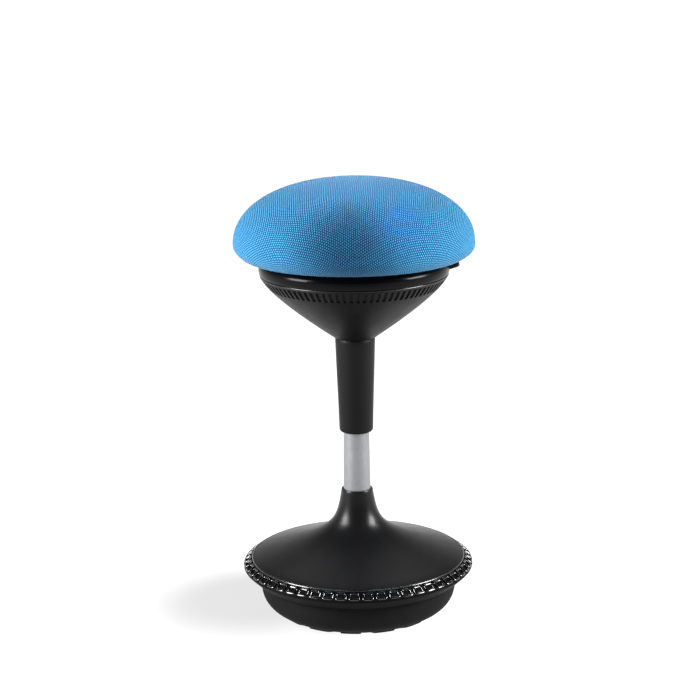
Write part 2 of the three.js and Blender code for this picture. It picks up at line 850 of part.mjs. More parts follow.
// One of the fine grooves round the housing, as deep at its foot as at its top
function ribGroove(flare) {
  const low = point(radiusOf(flare, ribBottom), ribBottom);
  const high = point(radiusOf(flare, ribTop), ribTop);
  const outline = [
    point(low.x - ribDepth, low.y),
    point(low.x + overrun, low.y),
    point(high.x + overrun, high.y),
    point(high.x - ribDepth, high.y),
  ];
  return slab(outline, ribGrooveWidth);
}

function trimRing() {
  const flare = flareRun();
  const crownX = ringRadius - ringCrown;
  const lip = radiusOf(flare, ringBottom) - ringWall;
  const outline = [
    point(lip, ringBottom),
    ...stretch(flare, ringBottom, ringShoulderHeight, 2).slice(0, -1),
    ...quarterRound(crownX, ringShoulderHeight, ringCrown, shortRun),
    point(ringFlangeRadius, ringTop),
    point(ringFlangeRadius, ringTop - ringWall),
    ...quarterRound(crownX, ringShoulderHeight, ringCrown - ringWall, shortRun - 1).reverse(),
    point(lip, ringBottom + housingLip + ringWall / 2),
  ];
  const ring = turned(outline, wideSides).add(ringOf(ringLug(), ringLugs, 0));
  const notchStart = crownX - ringWall;
  const notchEnd = ringRadius + overrun;
  const notch = block(notchEnd - notchStart, paddleWidth + 2 * notchMargin, notchBottom, boardBottom);
  const made = ring.subtract(notch.translate([(notchStart + notchEnd) / 2, 0, 0]));
  return piece("trim_ring", made, looks.blackGloss);
}

// From the widest place up to the crown
function quarterRound(x, height, radius, steps) {
  return new THREE.EllipseCurve(x, height, radius, radius, 0, Math.PI / 2).getPoints(steps);
}

// A lug of the ring's flange that reaches inwards and up to the seat board, drilled for its screw
function ringLug() {
  const armEnd = ringFlangeRadius + overrun;
  const padEnd = hemRadius - 2 * overrun;
  const arm = block(armEnd - ringLugStart, ringLugWidth, ringTop - ringWall, ringTop);
  const pad = block(padEnd - ringLugStart, ringLugWidth, ringTop - ringWall, boardBottom - fit);
  const hole = bar(ringScrewRadius + ringFit, ringTop - 2 * ringWall, boardTop);
  return arm
    .translate([(armEnd + ringLugStart) / 2, 0, 0])
    .add(pad.translate([(padEnd + ringLugStart) / 2, 0, 0]))
    .subtract(hole.translate([ringScrewCircle, 0, 0]));
}

function ringScrewPieces() {
  const seat = ringTop - ringWall - fit;
  const length = boardBottom - seat + ringScrewDepth;
  const made = fastener(smallHeadRadius, ringScrewRadius, length, smallSides);
  return headDown(fastenerRing("ring_screw", made, ringLugs, ringScrewCircle, seat));
}

// A quarter of a rounded outline: from the given radius at height zero up to the axis
function swell(radius, height, power, steps) {
  return Array.from({ length: steps + 1 }, (_, i) => {
    const angle = between(i, 0, steps, 0, Math.PI / 2);
    const share = i === steps ? 0 : Math.cos(angle) ** (2 / power);
    return point(radius * share, height * Math.sin(angle) ** (2 / power));
  });
}

// The cushion's outline, or a skin inside it, from its underside to the top of its crown
function cushionRun(inset, steps) {
  const bulge = seatRadius - inset - seatUnderRadius;
  const under = swell(bulge, seatWaist - seatUnderside - inset, seatUnderPower, shortRun);
  const lower = under.map((p) => point(seatUnderRadius + p.x, seatWaist - p.y)).reverse();
  const crown = swell(seatRadius - inset, seatTop - inset - seatWaist, seatCrownPower, steps);
  const upper = crown.slice(1).map((p) => point(p.x, seatWaist + p.y));
  return [...lower, ...upper];
}

function seatCover() {
  const outside = cushionRun(0, crownRun);
  const inside = cushionRun(clothThickness, crownRun).reverse();
  const hem = [point(hemRadius, seatUnderside + clothThickness), point(hemRadius, seatUnderside)];
  return piece("seat_cover", turned([...outside, ...inside, ...hem], cushionSides), looks.cloth);
}

function foamPad() {
  const outside = cushionRun(clothThickness + fit, crownRun);
  const edge = (boardRadius + fit) / Math.cos(halfStep(foamSides)); // the facets clear the board
  const recess = [point(0, boardTop + fit), point(edge, boardTop + fit), point(edge, outside[0].y)];
  return piece("foam_pad", turned([...recess, ...outside], foamSides), looks.foam);
}

function seatBoard() {
  const disc = bar(boardRadius, boardBottom, boardTop, cushionSides);
  const below = boardBottom - overrun;
  const above = boardTop + overrun;
  const ringHole = bar(ringScrewRadius + ringFit, below, boardBottom + ringScrewDepth + overrun);
  const flangeRoom = bar(teeNutFlangeRadius + fit, boardTop - teeNutFlange - 2 * fit, above);
  const nutRoom = bar(teeNutBarrelRadius + fit, below, above).add(flangeRoom);
  const holes = ringOf(ringHole, ringLugs, ringScrewCircle).add(atSeatBolts(nutRoom));
  return piece("seat_board", disc.subtract(holes), looks.board);
}

function seatBoltPlaces() {
  return aroundAxis(
    seatBolts,
    (angle) => point(seatBoltX * Math.sign(Math.cos(angle)), seatBoltY * Math.sign(Math.sin(angle))),
    halfStep(seatBolts),
  );
}

function atSeatBolts(made) {
  return joined(seatBoltPlaces().map((place) => made.translate([place.x, place.y, 0])));
}

function seatBoltSet(name, made, height) {
  return seatBoltPlaces().map((place, i) => {
    const member = piece(`${name}_${i + 1}`, made, looks.steel);
    member.position.set(place.x, place.y, height);
    return member;
  });
}

function teeNutPieces() {
  const bore = seatBoltRadius + ringFit;
  const top = boardTop - fit;
  const flange = tube(teeNutFlangeRadius, bore, top - teeNutFlange, top, smallSides);
  const barrel = tube(teeNutBarrelRadius, bore, boardBottom + fit, top - teeNutFlange / 2, smallSides);
  return seatBoltSet("tee_nut", flange.add(barrel), 0);
}

function seatBoltPieces() {
  const seat = plateBottom - fit;
  const length = boardBottom - seat + seatBoltDepth;
  const made = fastener(seatBoltHeadRadius, seatBoltRadius, length, hexSides);
  return headDown(seatBoltSet("seat_bolt", made, seat));
}

// A pressed pan with a flange that bolts to the board, and a hub with the taper for the gas spring
function seatPlate() {
  const flange = block(plateLength, plateWidth, plateBottom, plateTop);
  const pan = block(panLength, panWidth, panFloor, plateBottom + plateThickness / 2);
  const hub = bar(hubRadius, hubBottom, panFloor + panFloorThickness / 2, tubeSides);
  const roomLength = panLength - 2 * panWall;
  const room = block(roomLength, panWidth - 2 * panWall, panTopOfFloor, plateTop + overrun);
  const slotTop = leverPivotHeight + leverThickness + notchMargin;
  const slot = block(panLength, leverWidth + 2 * notchMargin, slotFloor, slotTop);
  const boltHole = bar(seatBoltRadius + ringFit, plateBottom - overrun, plateTop + overrun);
  const made = flange
    .add(pan)
    .subtract(room)
    .add(hub)
    .subtract(taperSocket())
    .subtract(slot.translate([panLength / 2, 0, 0]))
    .subtract(atSeatBolts(boltHole));
  return piece("seat_plate", made, looks.darkSteel);
}

// The space in the hub for the tapered end of the gas cylinder, with a hole above it for the valve pin
function taperSocket() {
  const mouth = cylinderRadius + fit;
  const socketTop = cylinderTop + fit;
  const taperStart = cylinderTop - cylinderTaperLength;
  const throat = mouth - (cylinderTaper * (socketTop - taperStart)) / cylinderTaperLength;
  const pinHole = bar(valvePinRadius + 2 * fit, socketTop - overrun, panTopOfFloor + overrun);
  return post(mouth, throat, taperStart, socketTop, tubeSides)
    .add(bar(mouth, hubBottom - overrun, taperStart + overrun, tubeSides))
    .add(pinHole);
}

function leverBracket() {
  const gapWidth = leverWidth + 2 * notchMargin;
  const width = gapWidth + 2 * bracketEar;
  const top = leverPivotHeight + leverBoss + overrun;
  const body = block(bracketLength, width, panTopOfFloor + fit, top);
  const gap = block(bracketLength + 2 * overrun, gapWidth, slotFloor, top + overrun);
  const hole = crossPin(leverPinRadius + fit, width + 2 * overrun);
  const made = body.subtract(gap).subtract(hole.translate([0, 0, leverPivotHeight]));
  const bracket = piece("lever_bracket", made, looks.darkSteel);
  bracket.position.x = leverPivotX;
  return bracket;
}

function crossPin(radius, length) {
  return solid(new THREE.CylinderGeometry(radius, radius, length, smallSides));
}

function leverPin() {
  const pin = piece("lever_pin", crossPin(leverPinRadius, leverPinLength), looks.steel);
  pin.position.set(leverPivotX, 0, leverPivotHeight);
  return pin;
}

// The middle line of the arm in its own frame, with the pivot at zero
function leverArmHeight(x) {
  return between(x, 0, leverArmEnd - leverPivotX, 0, leverArmRise);
}

function leverArm() {
  const half = leverThickness / 2;
  const nose = valvePinTop + fit - leverPivotHeight; // underside over the pin
  const noseX = -leverPivotX;
  const bend = noseX + 2 * leverNose + leverBoss;
  const end = leverArmEnd - leverPivotX;
  const outline = [
    point(noseX - leverNose, nose),
    point(noseX + leverNose, nose),
    point(bend, leverArmHeight(bend) - half),
    point(end, leverArmHeight(end) - half),
    point(end, leverArmHeight(end) + half),
    point(bend, leverArmHeight(bend) + half),
    point(noseX + leverNose, nose + leverThickness),
    point(noseX - leverNose, nose + leverThickness),
  ];
  const arm = slab(outline, leverWidth).add(crossPin(leverBoss, leverWidth));
  const made = arm.subtract(crossPin(leverPinRadius + fit, leverWidth + 2 * overrun));
  return piece("lever_arm", made, looks.steel);
}

// A grip moulded round the end of the arm, with its tip turned up
function leverPaddle() {
  const half = paddleThickness / 2;
  const start = paddleStart - leverPivotX;
  const end = paddleEnd - leverPivotX;
  const armEnd = leverArmEnd - leverPivotX;
  const level = leverArmHeight(armEnd);
  const turn = end - paddleTipLength;
  const outline = [
    point(start, leverArmHeight(start) - half),
    point(armEnd, level - half),
    point(turn, level - half),
    point(end - half, level - half / 2),
    point(end, level + half / 2),
    point(end, level + half + paddleTip),
    point(end - half, level + half + paddleTip),
    point(turn, level + half),
    point(armEnd, level + half),
    point(start, leverArmHeight(start) + half),
  ];
  const grip = slab(outline, paddleWidth);
  return piece("lever_paddle", grip.subtract(armRoom(start - overrun, armEnd + fit)), looks.blackSatin);
}

// The space for the arm inside its grip, from one place along the arm to another
function armRoom(start, end) {
  const half = leverThickness / 2 + fit;
  const outline = [
    point(start, leverArmHeight(start) - half),
    point(end, leverArmHeight(end) - half),
    point(end, leverArmHeight(end) + half),
    point(start, leverArmHeight(start) + half),
  ];
  return slab(outline, leverWidth + 2 * fit);
}

function group(...members) {
  const result = new THREE.Group();
  result.add(...members.flat());
  return result;
}

const base = group(
  treadPad(),
  baseBowl(),
  ballastDisc(),
  columnSocket(),
  socketBoltPieces(),
  columnTube(),
  guideBush(),
  thrustWasher("thrust_washer_lower", lowerWasherHeight),
  rimBumper(),
  baseCover(),
  coverScrewPieces(),
);

const bearing = group(ballCage());

const rod = group(
  pistonRod(),
  piston(),
  thrustWasher("thrust_washer_upper", upperWasherHeight),
  rubberBuffer(),
  retainingClip(),
);

const lever = group(leverArm(), leverPaddle());
lever.position.set(leverPivotX, 0, leverPivotHeight);

const seat = group(
  gasCylinder(),
  rodGland(),
  valvePin(),
  sleeve(),
  bowlHousing(),
  trimRing(),
  ringScrewPieces(),
  seatPlate(),
  leverBracket(),
  leverPin(),
  seatBoltPieces(),
  teeNutPieces(),
  seatBoard(),
  foamPad(),
  seatCover(),
  lever,
);

const stool = group(base, bearing, rod, seat);

export default stool;
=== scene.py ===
import json
import math

import bmesh
import bpy
import numpy as np
from mathutils import Matrix, Vector


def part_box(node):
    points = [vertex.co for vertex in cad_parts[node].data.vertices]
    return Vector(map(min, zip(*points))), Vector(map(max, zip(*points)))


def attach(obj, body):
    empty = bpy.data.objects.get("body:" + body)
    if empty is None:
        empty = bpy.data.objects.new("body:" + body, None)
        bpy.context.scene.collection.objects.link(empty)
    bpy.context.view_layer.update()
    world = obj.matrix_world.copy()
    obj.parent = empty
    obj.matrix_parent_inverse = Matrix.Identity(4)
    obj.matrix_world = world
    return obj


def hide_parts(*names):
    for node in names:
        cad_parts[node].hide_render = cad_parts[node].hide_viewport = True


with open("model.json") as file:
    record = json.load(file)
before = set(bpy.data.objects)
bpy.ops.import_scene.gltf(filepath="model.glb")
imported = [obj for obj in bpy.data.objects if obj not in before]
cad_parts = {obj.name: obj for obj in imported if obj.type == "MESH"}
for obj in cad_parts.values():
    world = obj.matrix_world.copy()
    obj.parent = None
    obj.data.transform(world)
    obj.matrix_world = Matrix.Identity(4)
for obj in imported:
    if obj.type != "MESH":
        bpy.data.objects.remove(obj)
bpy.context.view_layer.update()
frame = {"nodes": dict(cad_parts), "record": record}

# Lengths are in millimetres, as in the part's source, and heights start at the floor. The camera's place,
# and the lengths of the lamps, the floor and the materials, are in metres.
MM = 0.001
FIT = 0.3

# Camera, solved from the ellipses of the base, the ring and the neck
FOCAL_PX = 1850
IMAGE_PX = 700
SENSOR_WIDTH = 36
CLIP_END = 50
CAMERA_PLACE = (-0.0074, -2.536, 1.0035)
CAMERA_PITCH = 13.38
CAMERA_ROLL = -0.83


def make_camera():
    data = bpy.data.cameras.new("camera")
    data.sensor_fit = "HORIZONTAL"
    data.sensor_width = SENSOR_WIDTH
    data.lens = SENSOR_WIDTH * FOCAL_PX / IMAGE_PX
    data.clip_end = CLIP_END
    camera = bpy.data.objects.new("camera", data)
    bpy.context.collection.objects.link(camera)
    tilt = Matrix.Rotation(math.radians(90 - CAMERA_PITCH), 4, "X")
    roll = Matrix.Rotation(math.radians(CAMERA_ROLL), 4, "Z")
    camera.matrix_world = Matrix.Translation(CAMERA_PLACE) @ tilt @ roll
    bpy.context.scene.camera = camera


# Materials
def srgb(r, g, b):
    return tuple(((c / 255 + 0.055) / 1.055) ** 2.4 if c > 10 else c / 255 / 12.92 for c in (r, g, b)) + (1,)


def grey(value):
    return (value, value, value, 1)


MOST_NOISE = (0.3, 0.7)  # the range that holds most of a noise texture's values


def set_range(made, given, wanted):
    for key, number in zip(("From Min", "From Max", "To Min", "To Max"), (*given, *wanted)):
        made.inputs[key].default_value = number


class Nodes:
    """A material's node tree, with short calls for the nodes used here."""

    def __init__(self, name):
        self.material = bpy.data.materials.new(name)
        self.material.use_nodes = True
        self.tree = self.material.node_tree
        self.shader = self.tree.nodes["Principled BSDF"]
        self.place = self.node("ShaderNodeTexCoord").outputs["Object"]

    def node(self, kind, **settings):
        made = self.tree.nodes.new(kind)
        for key, value in settings.items():
            setattr(made, key, value)
        return made

    def link(self, a, b):
        self.tree.links.new(a, b)

    def put(self, socket, value):
        if isinstance(value, bpy.types.NodeSocket):
            self.link(value, socket)
        else:
            socket.default_value = value

    def stretched(self, scale, source=None):
        mapping = self.node("ShaderNodeMapping")
        mapping.inputs["Scale"].default_value = scale
        self.link(source or self.place, mapping.inputs["Vector"])
        return mapping.outputs["Vector"]

    def noise(self, scale, detail=3.0, rough=0.5, source=None):
        made = self.node("ShaderNodeTexNoise")
        made.inputs["Scale"].default_value = scale
        made.inputs["Detail"].default_value = detail
        made.inputs["Roughness"].default_value = rough
        self.link(source or self.place, made.inputs["Vector"])
        return made.outputs["Fac"]

    def cells(self, scale, source=None):
        made = self.node("ShaderNodeTexVoronoi")
        made.inputs["Scale"].default_value = scale
        self.link(source or self.place, made.inputs["Vector"])
        return made.outputs["Distance"]

    def parts(self, vector):
        split = self.node("ShaderNodeSeparateXYZ")
        self.link(vector, split.inputs[0])
        return split.outputs

    def distance(self, place):
        made = self.node("ShaderNodeVectorMath", operation="DISTANCE")
        self.link(self.place, made.inputs[0])
        made.inputs[1].default_value = place
        return made.outputs["Value"]

    def math(self, what, a, b=0.0):
        made = self.node("ShaderNodeMath", operation=what)
        self.put(made.inputs[0], a)
        self.put(made.inputs[1], b)
        return made.outputs[0]

    def sum(self, a, b, share=1.0):
        """a and a share of b."""
        return self.math("ADD", a, b if share == 1 else self.math("MULTIPLY", b, share))

    def range(self, value, given=MOST_NOISE, wanted=(0, 1), smooth=False):
        """The value moved from the given range to the wanted one, and kept in it."""
        made = self.node("ShaderNodeMapRange", interpolation_type="SMOOTHSTEP" if smooth else "LINEAR")
        set_range(made, given, wanted)
        self.link(value, made.inputs["Value"])
        return made.outputs["Result"]

    def mix(self, factor, a, b):
        made = self.node("ShaderNodeMix", data_type="RGBA")
        self.put(made.inputs[0], factor)
        self.put(made.inputs[6], a)
        self.put(made.inputs[7], b)
        return made.outputs[2]

    def bump(self, height, distance):
        made = self.node("ShaderNodeBump")
        made.inputs["Strength"].default_value = 1.0
        made.inputs["Distance"].default_value = distance
        self.link(height, made.inputs["Height"])
        return made.outputs["Normal"]

    def set(self, **values):
        for key, value in values.items():
            self.put(self.shader.inputs[key.replace("_", " ")], value)


def plastic(name, tones, rough, grain, specular=0.5, coat=0.0, coat_rough=0.1):
    """Moulded plastic: a cloudy tone, faint upright streaks in the gloss, and a fine grain."""
    n = Nodes(name)
    cloud = n.noise(scale=9, detail=4)
    fine = n.noise(scale=1400, detail=2)
    pits = n.cells(scale=1100)
    streak = n.noise(scale=60, detail=3, source=n.stretched((1, 1, 0.15)))
    n.set(
        Base_Color=n.mix(n.range(cloud), *tones),
        Roughness=n.range(n.sum(streak, fine, 0.5), (0.4, 1.1), rough),
        Specular_IOR_Level=specular,
        Coat_Weight=coat,
        Coat_Roughness=coat_rough,
        Normal=n.bump(n.sum(fine, pits, 0.6), grain),
    )
    return n.material


def metal(name, tones, rough, stretch, grain, metallic=1.0):
    """Drawn, turned or plated metal: fine scratches, longer where the stretch is small."""
    n = Nodes(name)
    cloud = n.noise(scale=14, detail=3)
    scratches = n.noise(scale=380, detail=3, source=n.stretched(stretch))
    fine = n.noise(scale=2400, detail=2)
    n.set(
        Base_Color=n.mix(n.range(n.sum(cloud, scratches), (0.7, 1.3)), *tones),
        Metallic=metallic,
        Roughness=n.range(n.sum(scratches, fine, 0.4), (0.4, 1.0), rough),
        Normal=n.bump(n.sum(scratches, fine, 0.5), grain),
    )
    return n.material


def make_rubber():
    n = Nodes("rubber_black")
    cloud = n.noise(scale=22, detail=4)
    grit = n.cells(scale=900)
    dust = n.noise(scale=130, detail=5, rough=0.7)
    n.set(
        Base_Color=n.mix(n.range(dust, (0.55, 0.8), (0, 0.35)), srgb(14, 14, 15), srgb(40, 39, 38)),
        Roughness=n.range(cloud, wanted=(0.62, 0.82)),
        Specular_IOR_Level=0.12,
        Normal=n.bump(n.sum(grit, cloud), 0.00012),
    )
    return n.material


def make_iron():
    n = Nodes("iron_grey")
    lumps = n.noise(scale=160, detail=5, rough=0.65)
    pits = n.cells(scale=420)
    n.set(
        Base_Color=n.mix(n.range(lumps, (0.35, 0.7)), srgb(58, 57, 56), srgb(98, 96, 93)),
        Metallic=0.6,
        Roughness=n.range(lumps, wanted=(0.55, 0.8)),
        Normal=n.bump(n.sum(lumps, pits, 0.7), 0.0006),
    )
    return n.material


def make_plywood():
    n = Nodes("plywood")
    grain = n.noise(scale=26, detail=6, rough=0.6, source=n.stretched((1, 9, 1)))
    pores = n.noise(scale=300, detail=2, rough=0.5, source=n.stretched((0.4, 6, 1)))
    plies = n.node("ShaderNodeTexWave", wave_type="BANDS", bands_direction="Z")
    plies.inputs["Scale"].default_value = 130
    plies.inputs["Distortion"].default_value = 1.2
    n.link(n.place, plies.inputs["Vector"])
    face = n.mix(n.range(grain, (0.35, 0.65)), srgb(178, 138, 92), srgb(222, 188, 140))
    n.set(
        Base_Color=n.mix(n.range(plies.outputs["Fac"], (0.2, 0.9), (0, 0.3)), face, srgb(120, 82, 50)),
        Roughness=n.range(pores, wanted=(0.6, 0.8)),
        Normal=n.bump(n.sum(grain, pores), 0.0002),
    )
    return n.material


def make_foam():
    n = Nodes("foam_cream")
    cells = n.cells(scale=700)
    cloud = n.noise(scale=16, detail=4)
    n.set(
        Base_Color=n.mix(n.range(cloud), srgb(222, 208, 168), srgb(240, 230, 200)),
        Roughness=n.range(cells, (0, 0.6), (0.85, 0.98)),
        Subsurface_Weight=0.1,
        Normal=n.bump(cells, 0.0006),
    )
    return n.material


# The weave's columns and rows, the half width and half length of a grain in shares of those, and how far the
# threads wander
WEAVE_PITCH, WEAVE_ROW = 0.003, 0.0037
GRAIN_WIDE, GRAIN_LONG = 0.4, 0.44
WANDER_ACROSS, WANDER_ALONG = 0.008, 0.006
# Patches laid over the weave: where, distance of full and of no effect, strength, and the tones of its gaps and
# grains. The first is a flatter, lower-contrast tone over the crown, the second is painted shade low at the
# front, and the third is a bluer patch at the front right
TONE_AND_SHADE_PATCHES = [
    ((0.0, 0.0, 0.640), 0.08, 0.165, 0.8, srgb(16, 80, 132), srgb(34, 130, 190)),
    # painted shade, low at the front
    ((-0.008, -0.150, 0.570), 0.04, 0.12, 0.9, srgb(0, 26, 54), srgb(22, 88, 130)),
    ((0.062, -0.118, 0.594), 0.03, 0.085, 0.55, srgb(14, 70, 136), srgb(58, 134, 226)),
]
PATCH_RAGGED = 0.05


def weave(n, flat):
    """1 on the raised grains, which stand in staggered rows, and 0 in the gaps between them."""
    wander = n.noise(scale=14, detail=2, source=flat)
    places = n.parts(flat)
    column = n.math("DIVIDE", n.sum(places[0], wander, WANDER_ACROSS), WEAVE_PITCH)
    odd = n.math("MULTIPLY", n.math("MODULO", n.math("FLOOR", column), 2.0), 0.5)
    row = n.math("ADD", n.math("DIVIDE", n.sum(places[1], wander, WANDER_ALONG), WEAVE_ROW), odd)
    squares = []
    for along, half in ((column, GRAIN_WIDE), (row, GRAIN_LONG)):
        off_middle = n.math("SUBTRACT", n.math("FRACT", along), 0.5)
        squares.append(n.math("POWER", n.math("DIVIDE", off_middle, half), 2.0))
    return n.range(n.sum(*squares), (0.25, 1.1), (1, 0), smooth=True)


def make_mesh_cloth():
    """Woven air mesh: raised grains over a darker ground."""
    n = Nodes("mesh_blue")
    flat = n.node("ShaderNodeUVMap", uv_map="weave").outputs["UV"]
    grain = weave(n, flat)
    thread = n.noise(scale=2600, detail=2, source=n.stretched((1, 3, 1), flat))
    patch = n.noise(scale=7, detail=3)
    ground = n.mix(n.range(patch), srgb(4, 50, 92), srgb(6, 54, 104))
    raised = n.mix(n.range(patch), srgb(68, 166, 210), srgb(74, 169, 222))
    woven = n.mix(grain, ground, raised)
    # Each patch is mixed over the weave; the one low at the front is painted shade
    for place, near, far, most, gap, tone in TONE_AND_SHADE_PATCHES:
        ragged = n.sum(n.distance(place), patch, PATCH_RAGGED)
        woven = n.mix(n.range(ragged, (near, far), (most, 0), smooth=True), woven, n.mix(grain, gap, tone))
    n.set(
        Base_Color=woven,
        Roughness=n.range(thread, wanted=(0.72, 0.9)),
        Specular_IOR_Level=0.12,
        Sheen_Weight=0.2,
        Sheen_Roughness=0.45,
        Sheen_Tint=(0.55, 0.85, 1.0, 1),
        Normal=n.bump(n.sum(grain, thread, 0.25), 0.0006),
    )
    return n.material


SATIN, GLOSS = "plastic_satin_black", "plastic_gloss_black"
SATIN_TONES = (srgb(13, 13, 14), srgb(19, 19, 20))
CONE_TONES = (srgb(10, 10, 11), srgb(15, 15, 16))
BOWL_SHADED_TONES = (srgb(21, 21, 22), srgb(28, 28, 29))
GLOSS_TONES = (srgb(5, 5, 6), srgb(9, 9, 10))
LIP_SHADED_TONES = (srgb(12, 12, 13), srgb(17, 17, 18))
TUBE_TONES = (srgb(133, 134, 136), srgb(145, 146, 148))
DARK_STEEL_TONES = (srgb(22, 22, 23), srgb(34, 34, 36))
STEEL_TONES = (srgb(150, 151, 153), srgb(190, 190, 192))
ZINC_TONES = (srgb(160, 163, 168), srgb(196, 196, 190))
CHROME_TONES = (srgb(196, 198, 200), srgb(214, 215, 216))
NYLON_TONES = (srgb(214, 213, 204), srgb(230, 229, 222))


def make_materials():
    """One material for each slot, and some finishes of the two black plastics that only a few pieces have.
    Those for the bowl and the rim's lip are shaded copies, whose tone and low gloss paint the shade there.
    """
    return {
        SATIN: plastic(SATIN, SATIN_TONES, (0.27, 0.36), 0.00002, specular=0.2),
        "cone": plastic(SATIN + "_cone", CONE_TONES, (0.4, 0.5), 0.00004, specular=0.12),
        # a shaded copy of the satin black: its tone and low gloss paint the shade near the floor
        "bowl": plastic(SATIN + "_bowl", BOWL_SHADED_TONES, (0.5, 0.62), 0.00006, specular=0.015),
        GLOSS: plastic(GLOSS, GLOSS_TONES, (0.1, 0.16), 0.000006, specular=0.9, coat=1.0),
        "band": plastic(GLOSS + "_band", GLOSS_TONES, (0.18, 0.24), 0.00001, specular=0.09),
        # a shaded copy of the gloss black: its tone and low gloss paint the shade on the rim's underside
        "lip": plastic(GLOSS + "_lip", LIP_SHADED_TONES, (0.4, 0.5), 0.00002, specular=0.015),
        "edge": plastic(GLOSS + "_edge", GLOSS_TONES, (0.22, 0.28), 0.00001, specular=0.45),
        "rubber_black": make_rubber(),
        "tube_silver": metal("tube_silver", TUBE_TONES, (0.36, 0.44), (1, 1, 0.3), 0.00001, metallic=0.7),
        "steel_black": metal("steel_black", DARK_STEEL_TONES, (0.35, 0.5), (1, 1, 1), 0.00003, metallic=0.3),
        "steel_bright": metal("steel_bright", STEEL_TONES, (0.22, 0.36), (1, 1, 0.1), 0.00002),
        "steel_zinc": metal("steel_zinc", ZINC_TONES, (0.28, 0.42), (1, 1, 1), 0.00002),
        "rod_chrome": metal("rod_chrome", CHROME_TONES, (0.06, 0.12), (1, 1, 0.05), 0.000004),
        "iron_grey": make_iron(),
        "nylon_white": plastic("nylon_white", NYLON_TONES, (0.4, 0.55), 0.00002),
        "plywood": make_plywood(),
        "foam_cream": make_foam(),
        "mesh_blue": make_mesh_cloth(),
    }


# Mesh helpers
SHARP = 32  # degrees above which an edge is drawn sharp
NONE = 1e-6  # a length or a radius that counts as none


def linked(name, mesh):
    made = bpy.data.objects.new(name, mesh)
    bpy.context.collection.objects.link(made)
    return made


def add_object(name, verts, faces, material, sharp=SHARP):
    mesh = bpy.data.meshes.new(name)
    mesh.from_pydata([tuple(v) for v in verts], [], faces)
    mesh.validate()
    mesh.materials.append(material)
    mesh.shade_smooth()
    mesh.set_sharp_from_angle(angle=math.radians(sharp))
    made = linked(name, mesh)
    return made


def polar(r, a, z):
    """Millimetres in, metres out."""
    return (r * math.cos(a) * MM, r * math.sin(a) * MM, z * MM)


def add_ring(verts, points):
    first = len(verts)
    verts.extend(points)
    return list(range(first, len(verts)))


def skin(rings, closed=False):
    """Faces between each ring of vertices and the next. A ring that repeats one vertex is a pole."""
    faces = []
    for low, high in zip(rings, rings[1:] + rings[:1] if closed else rings[1:]):
        if low[0] == low[1] and high[0] == high[1]:
            continue
        for j in range(len(low)):
            k = (j + 1) % len(low)
            faces.append(list(dict.fromkeys((low[j], low[k], high[k], high[j]))))
    return faces


def bezier(p0, p1, p2, p3, steps):
    out = []
    for i in range(steps + 1):
        t = i / steps
        a, b, c, d = (1 - t) ** 3, 3 * t * (1 - t) ** 2, 3 * t * t * (1 - t), t**3
        out.append(tuple(a * w + b * x + c * y + d * z for w, x, y, z in zip(p0, p1, p2, p3)))
    return out


def arc(x, z, rx, rz, start, end, steps):
    """Angles in degrees."""
    turns = [math.radians(start + (end - start) * i / steps) for i in range(steps + 1)]
    return [(x + rx * math.cos(a), z + rz * math.sin(a)) for a in turns]


def oval(x, z, rx, rz, sides=12):
    return arc(x, z, rx, rz, 0, 360 - 360 / sides, sides - 1)


def offset(run, distance):
    """A run moved to the left of the way it goes."""
    out = []
    for i, (x, z) in enumerate(run):
        x0, z0 = run[max(i - 1, 0)]
        x1, z1 = run[min(i + 1, len(run) - 1)]
        size = math.hypot(x1 - x0, z1 - z0)
        out.append((x - (z1 - z0) / size * distance, z + (x1 - x0) / size * distance))
    return out


def at_height(run, z):
    for (x0, z0), (x1, z1) in zip(run, run[1:]):
        if min(z0, z1) <= z <= max(z0, z1) and z0 != z1:
            return x0 + (x1 - x0) * (z - z0) / (z1 - z0)
    raise ValueError(f"the run doesn't pass {z}")


def at_radius(run, x):
    return at_height([(z, r) for r, z in run], x)


def lathe(name, profile, material, segments=192, sharp=SHARP):
    """A closed outline in (radius, height), turned about Z. Points on the axis become poles."""
    area = sum(a[0] * b[1] - b[0] * a[1] for a, b in zip(profile, profile[1:] + profile[:1]))
    if area < 0:
        profile = profile[::-1]
    turns = [math.tau * j / segments for j in range(segments)]
    verts, rings = [], []
    for r, z in profile:
        if r < NONE:
            rings.append(add_ring(verts, [(0, 0, z * MM)]) * segments)
        else:
            rings.append(add_ring(verts, [polar(r, a, z) for a in turns]))
    return add_object(name, verts, skin(rings, closed=True), material, sharp)


def softened(run, radius, steps=3, least=20):
    """Rounds every corner of a closed outline that turns by more than the least angle."""
    longest_share = 0.45
    out = []
    for i in range(len(run)):
        before, here, after = Vector(run[i - 1]), Vector(run[i]), Vector(run[(i + 1) % len(run)])
        a, b = before - here, after - here
        turn = 180 - math.degrees(a.angle(b)) if min(a.length, b.length) > NONE else 0
        if turn < least or here.x < NONE:
            out.append((here.x, here.y))
            continue
        size = min(radius, a.length * longest_share, b.length * longest_share)
        p, q = here + a.normalized() * size, here + b.normalized() * size
        for s in range(steps + 1):
            t = s / steps
            m = p * (1 - t) ** 2 + here * 2 * t * (1 - t) + q * t * t
            out.append((m.x, m.y))
    return out


def outward(made):
    """Turns every face of a closed mesh outwards."""
    bm = bmesh.new()
    bm.from_mesh(made.data)
    bmesh.ops.recalc_face_normals(bm, faces=bm.faces)
    bm.to_mesh(made.data)
    bm.free()


def object_from(name, bm):
    mesh = bpy.data.meshes.new(name)
    bm.to_mesh(mesh)
    bm.free()
    return linked(name, mesh)


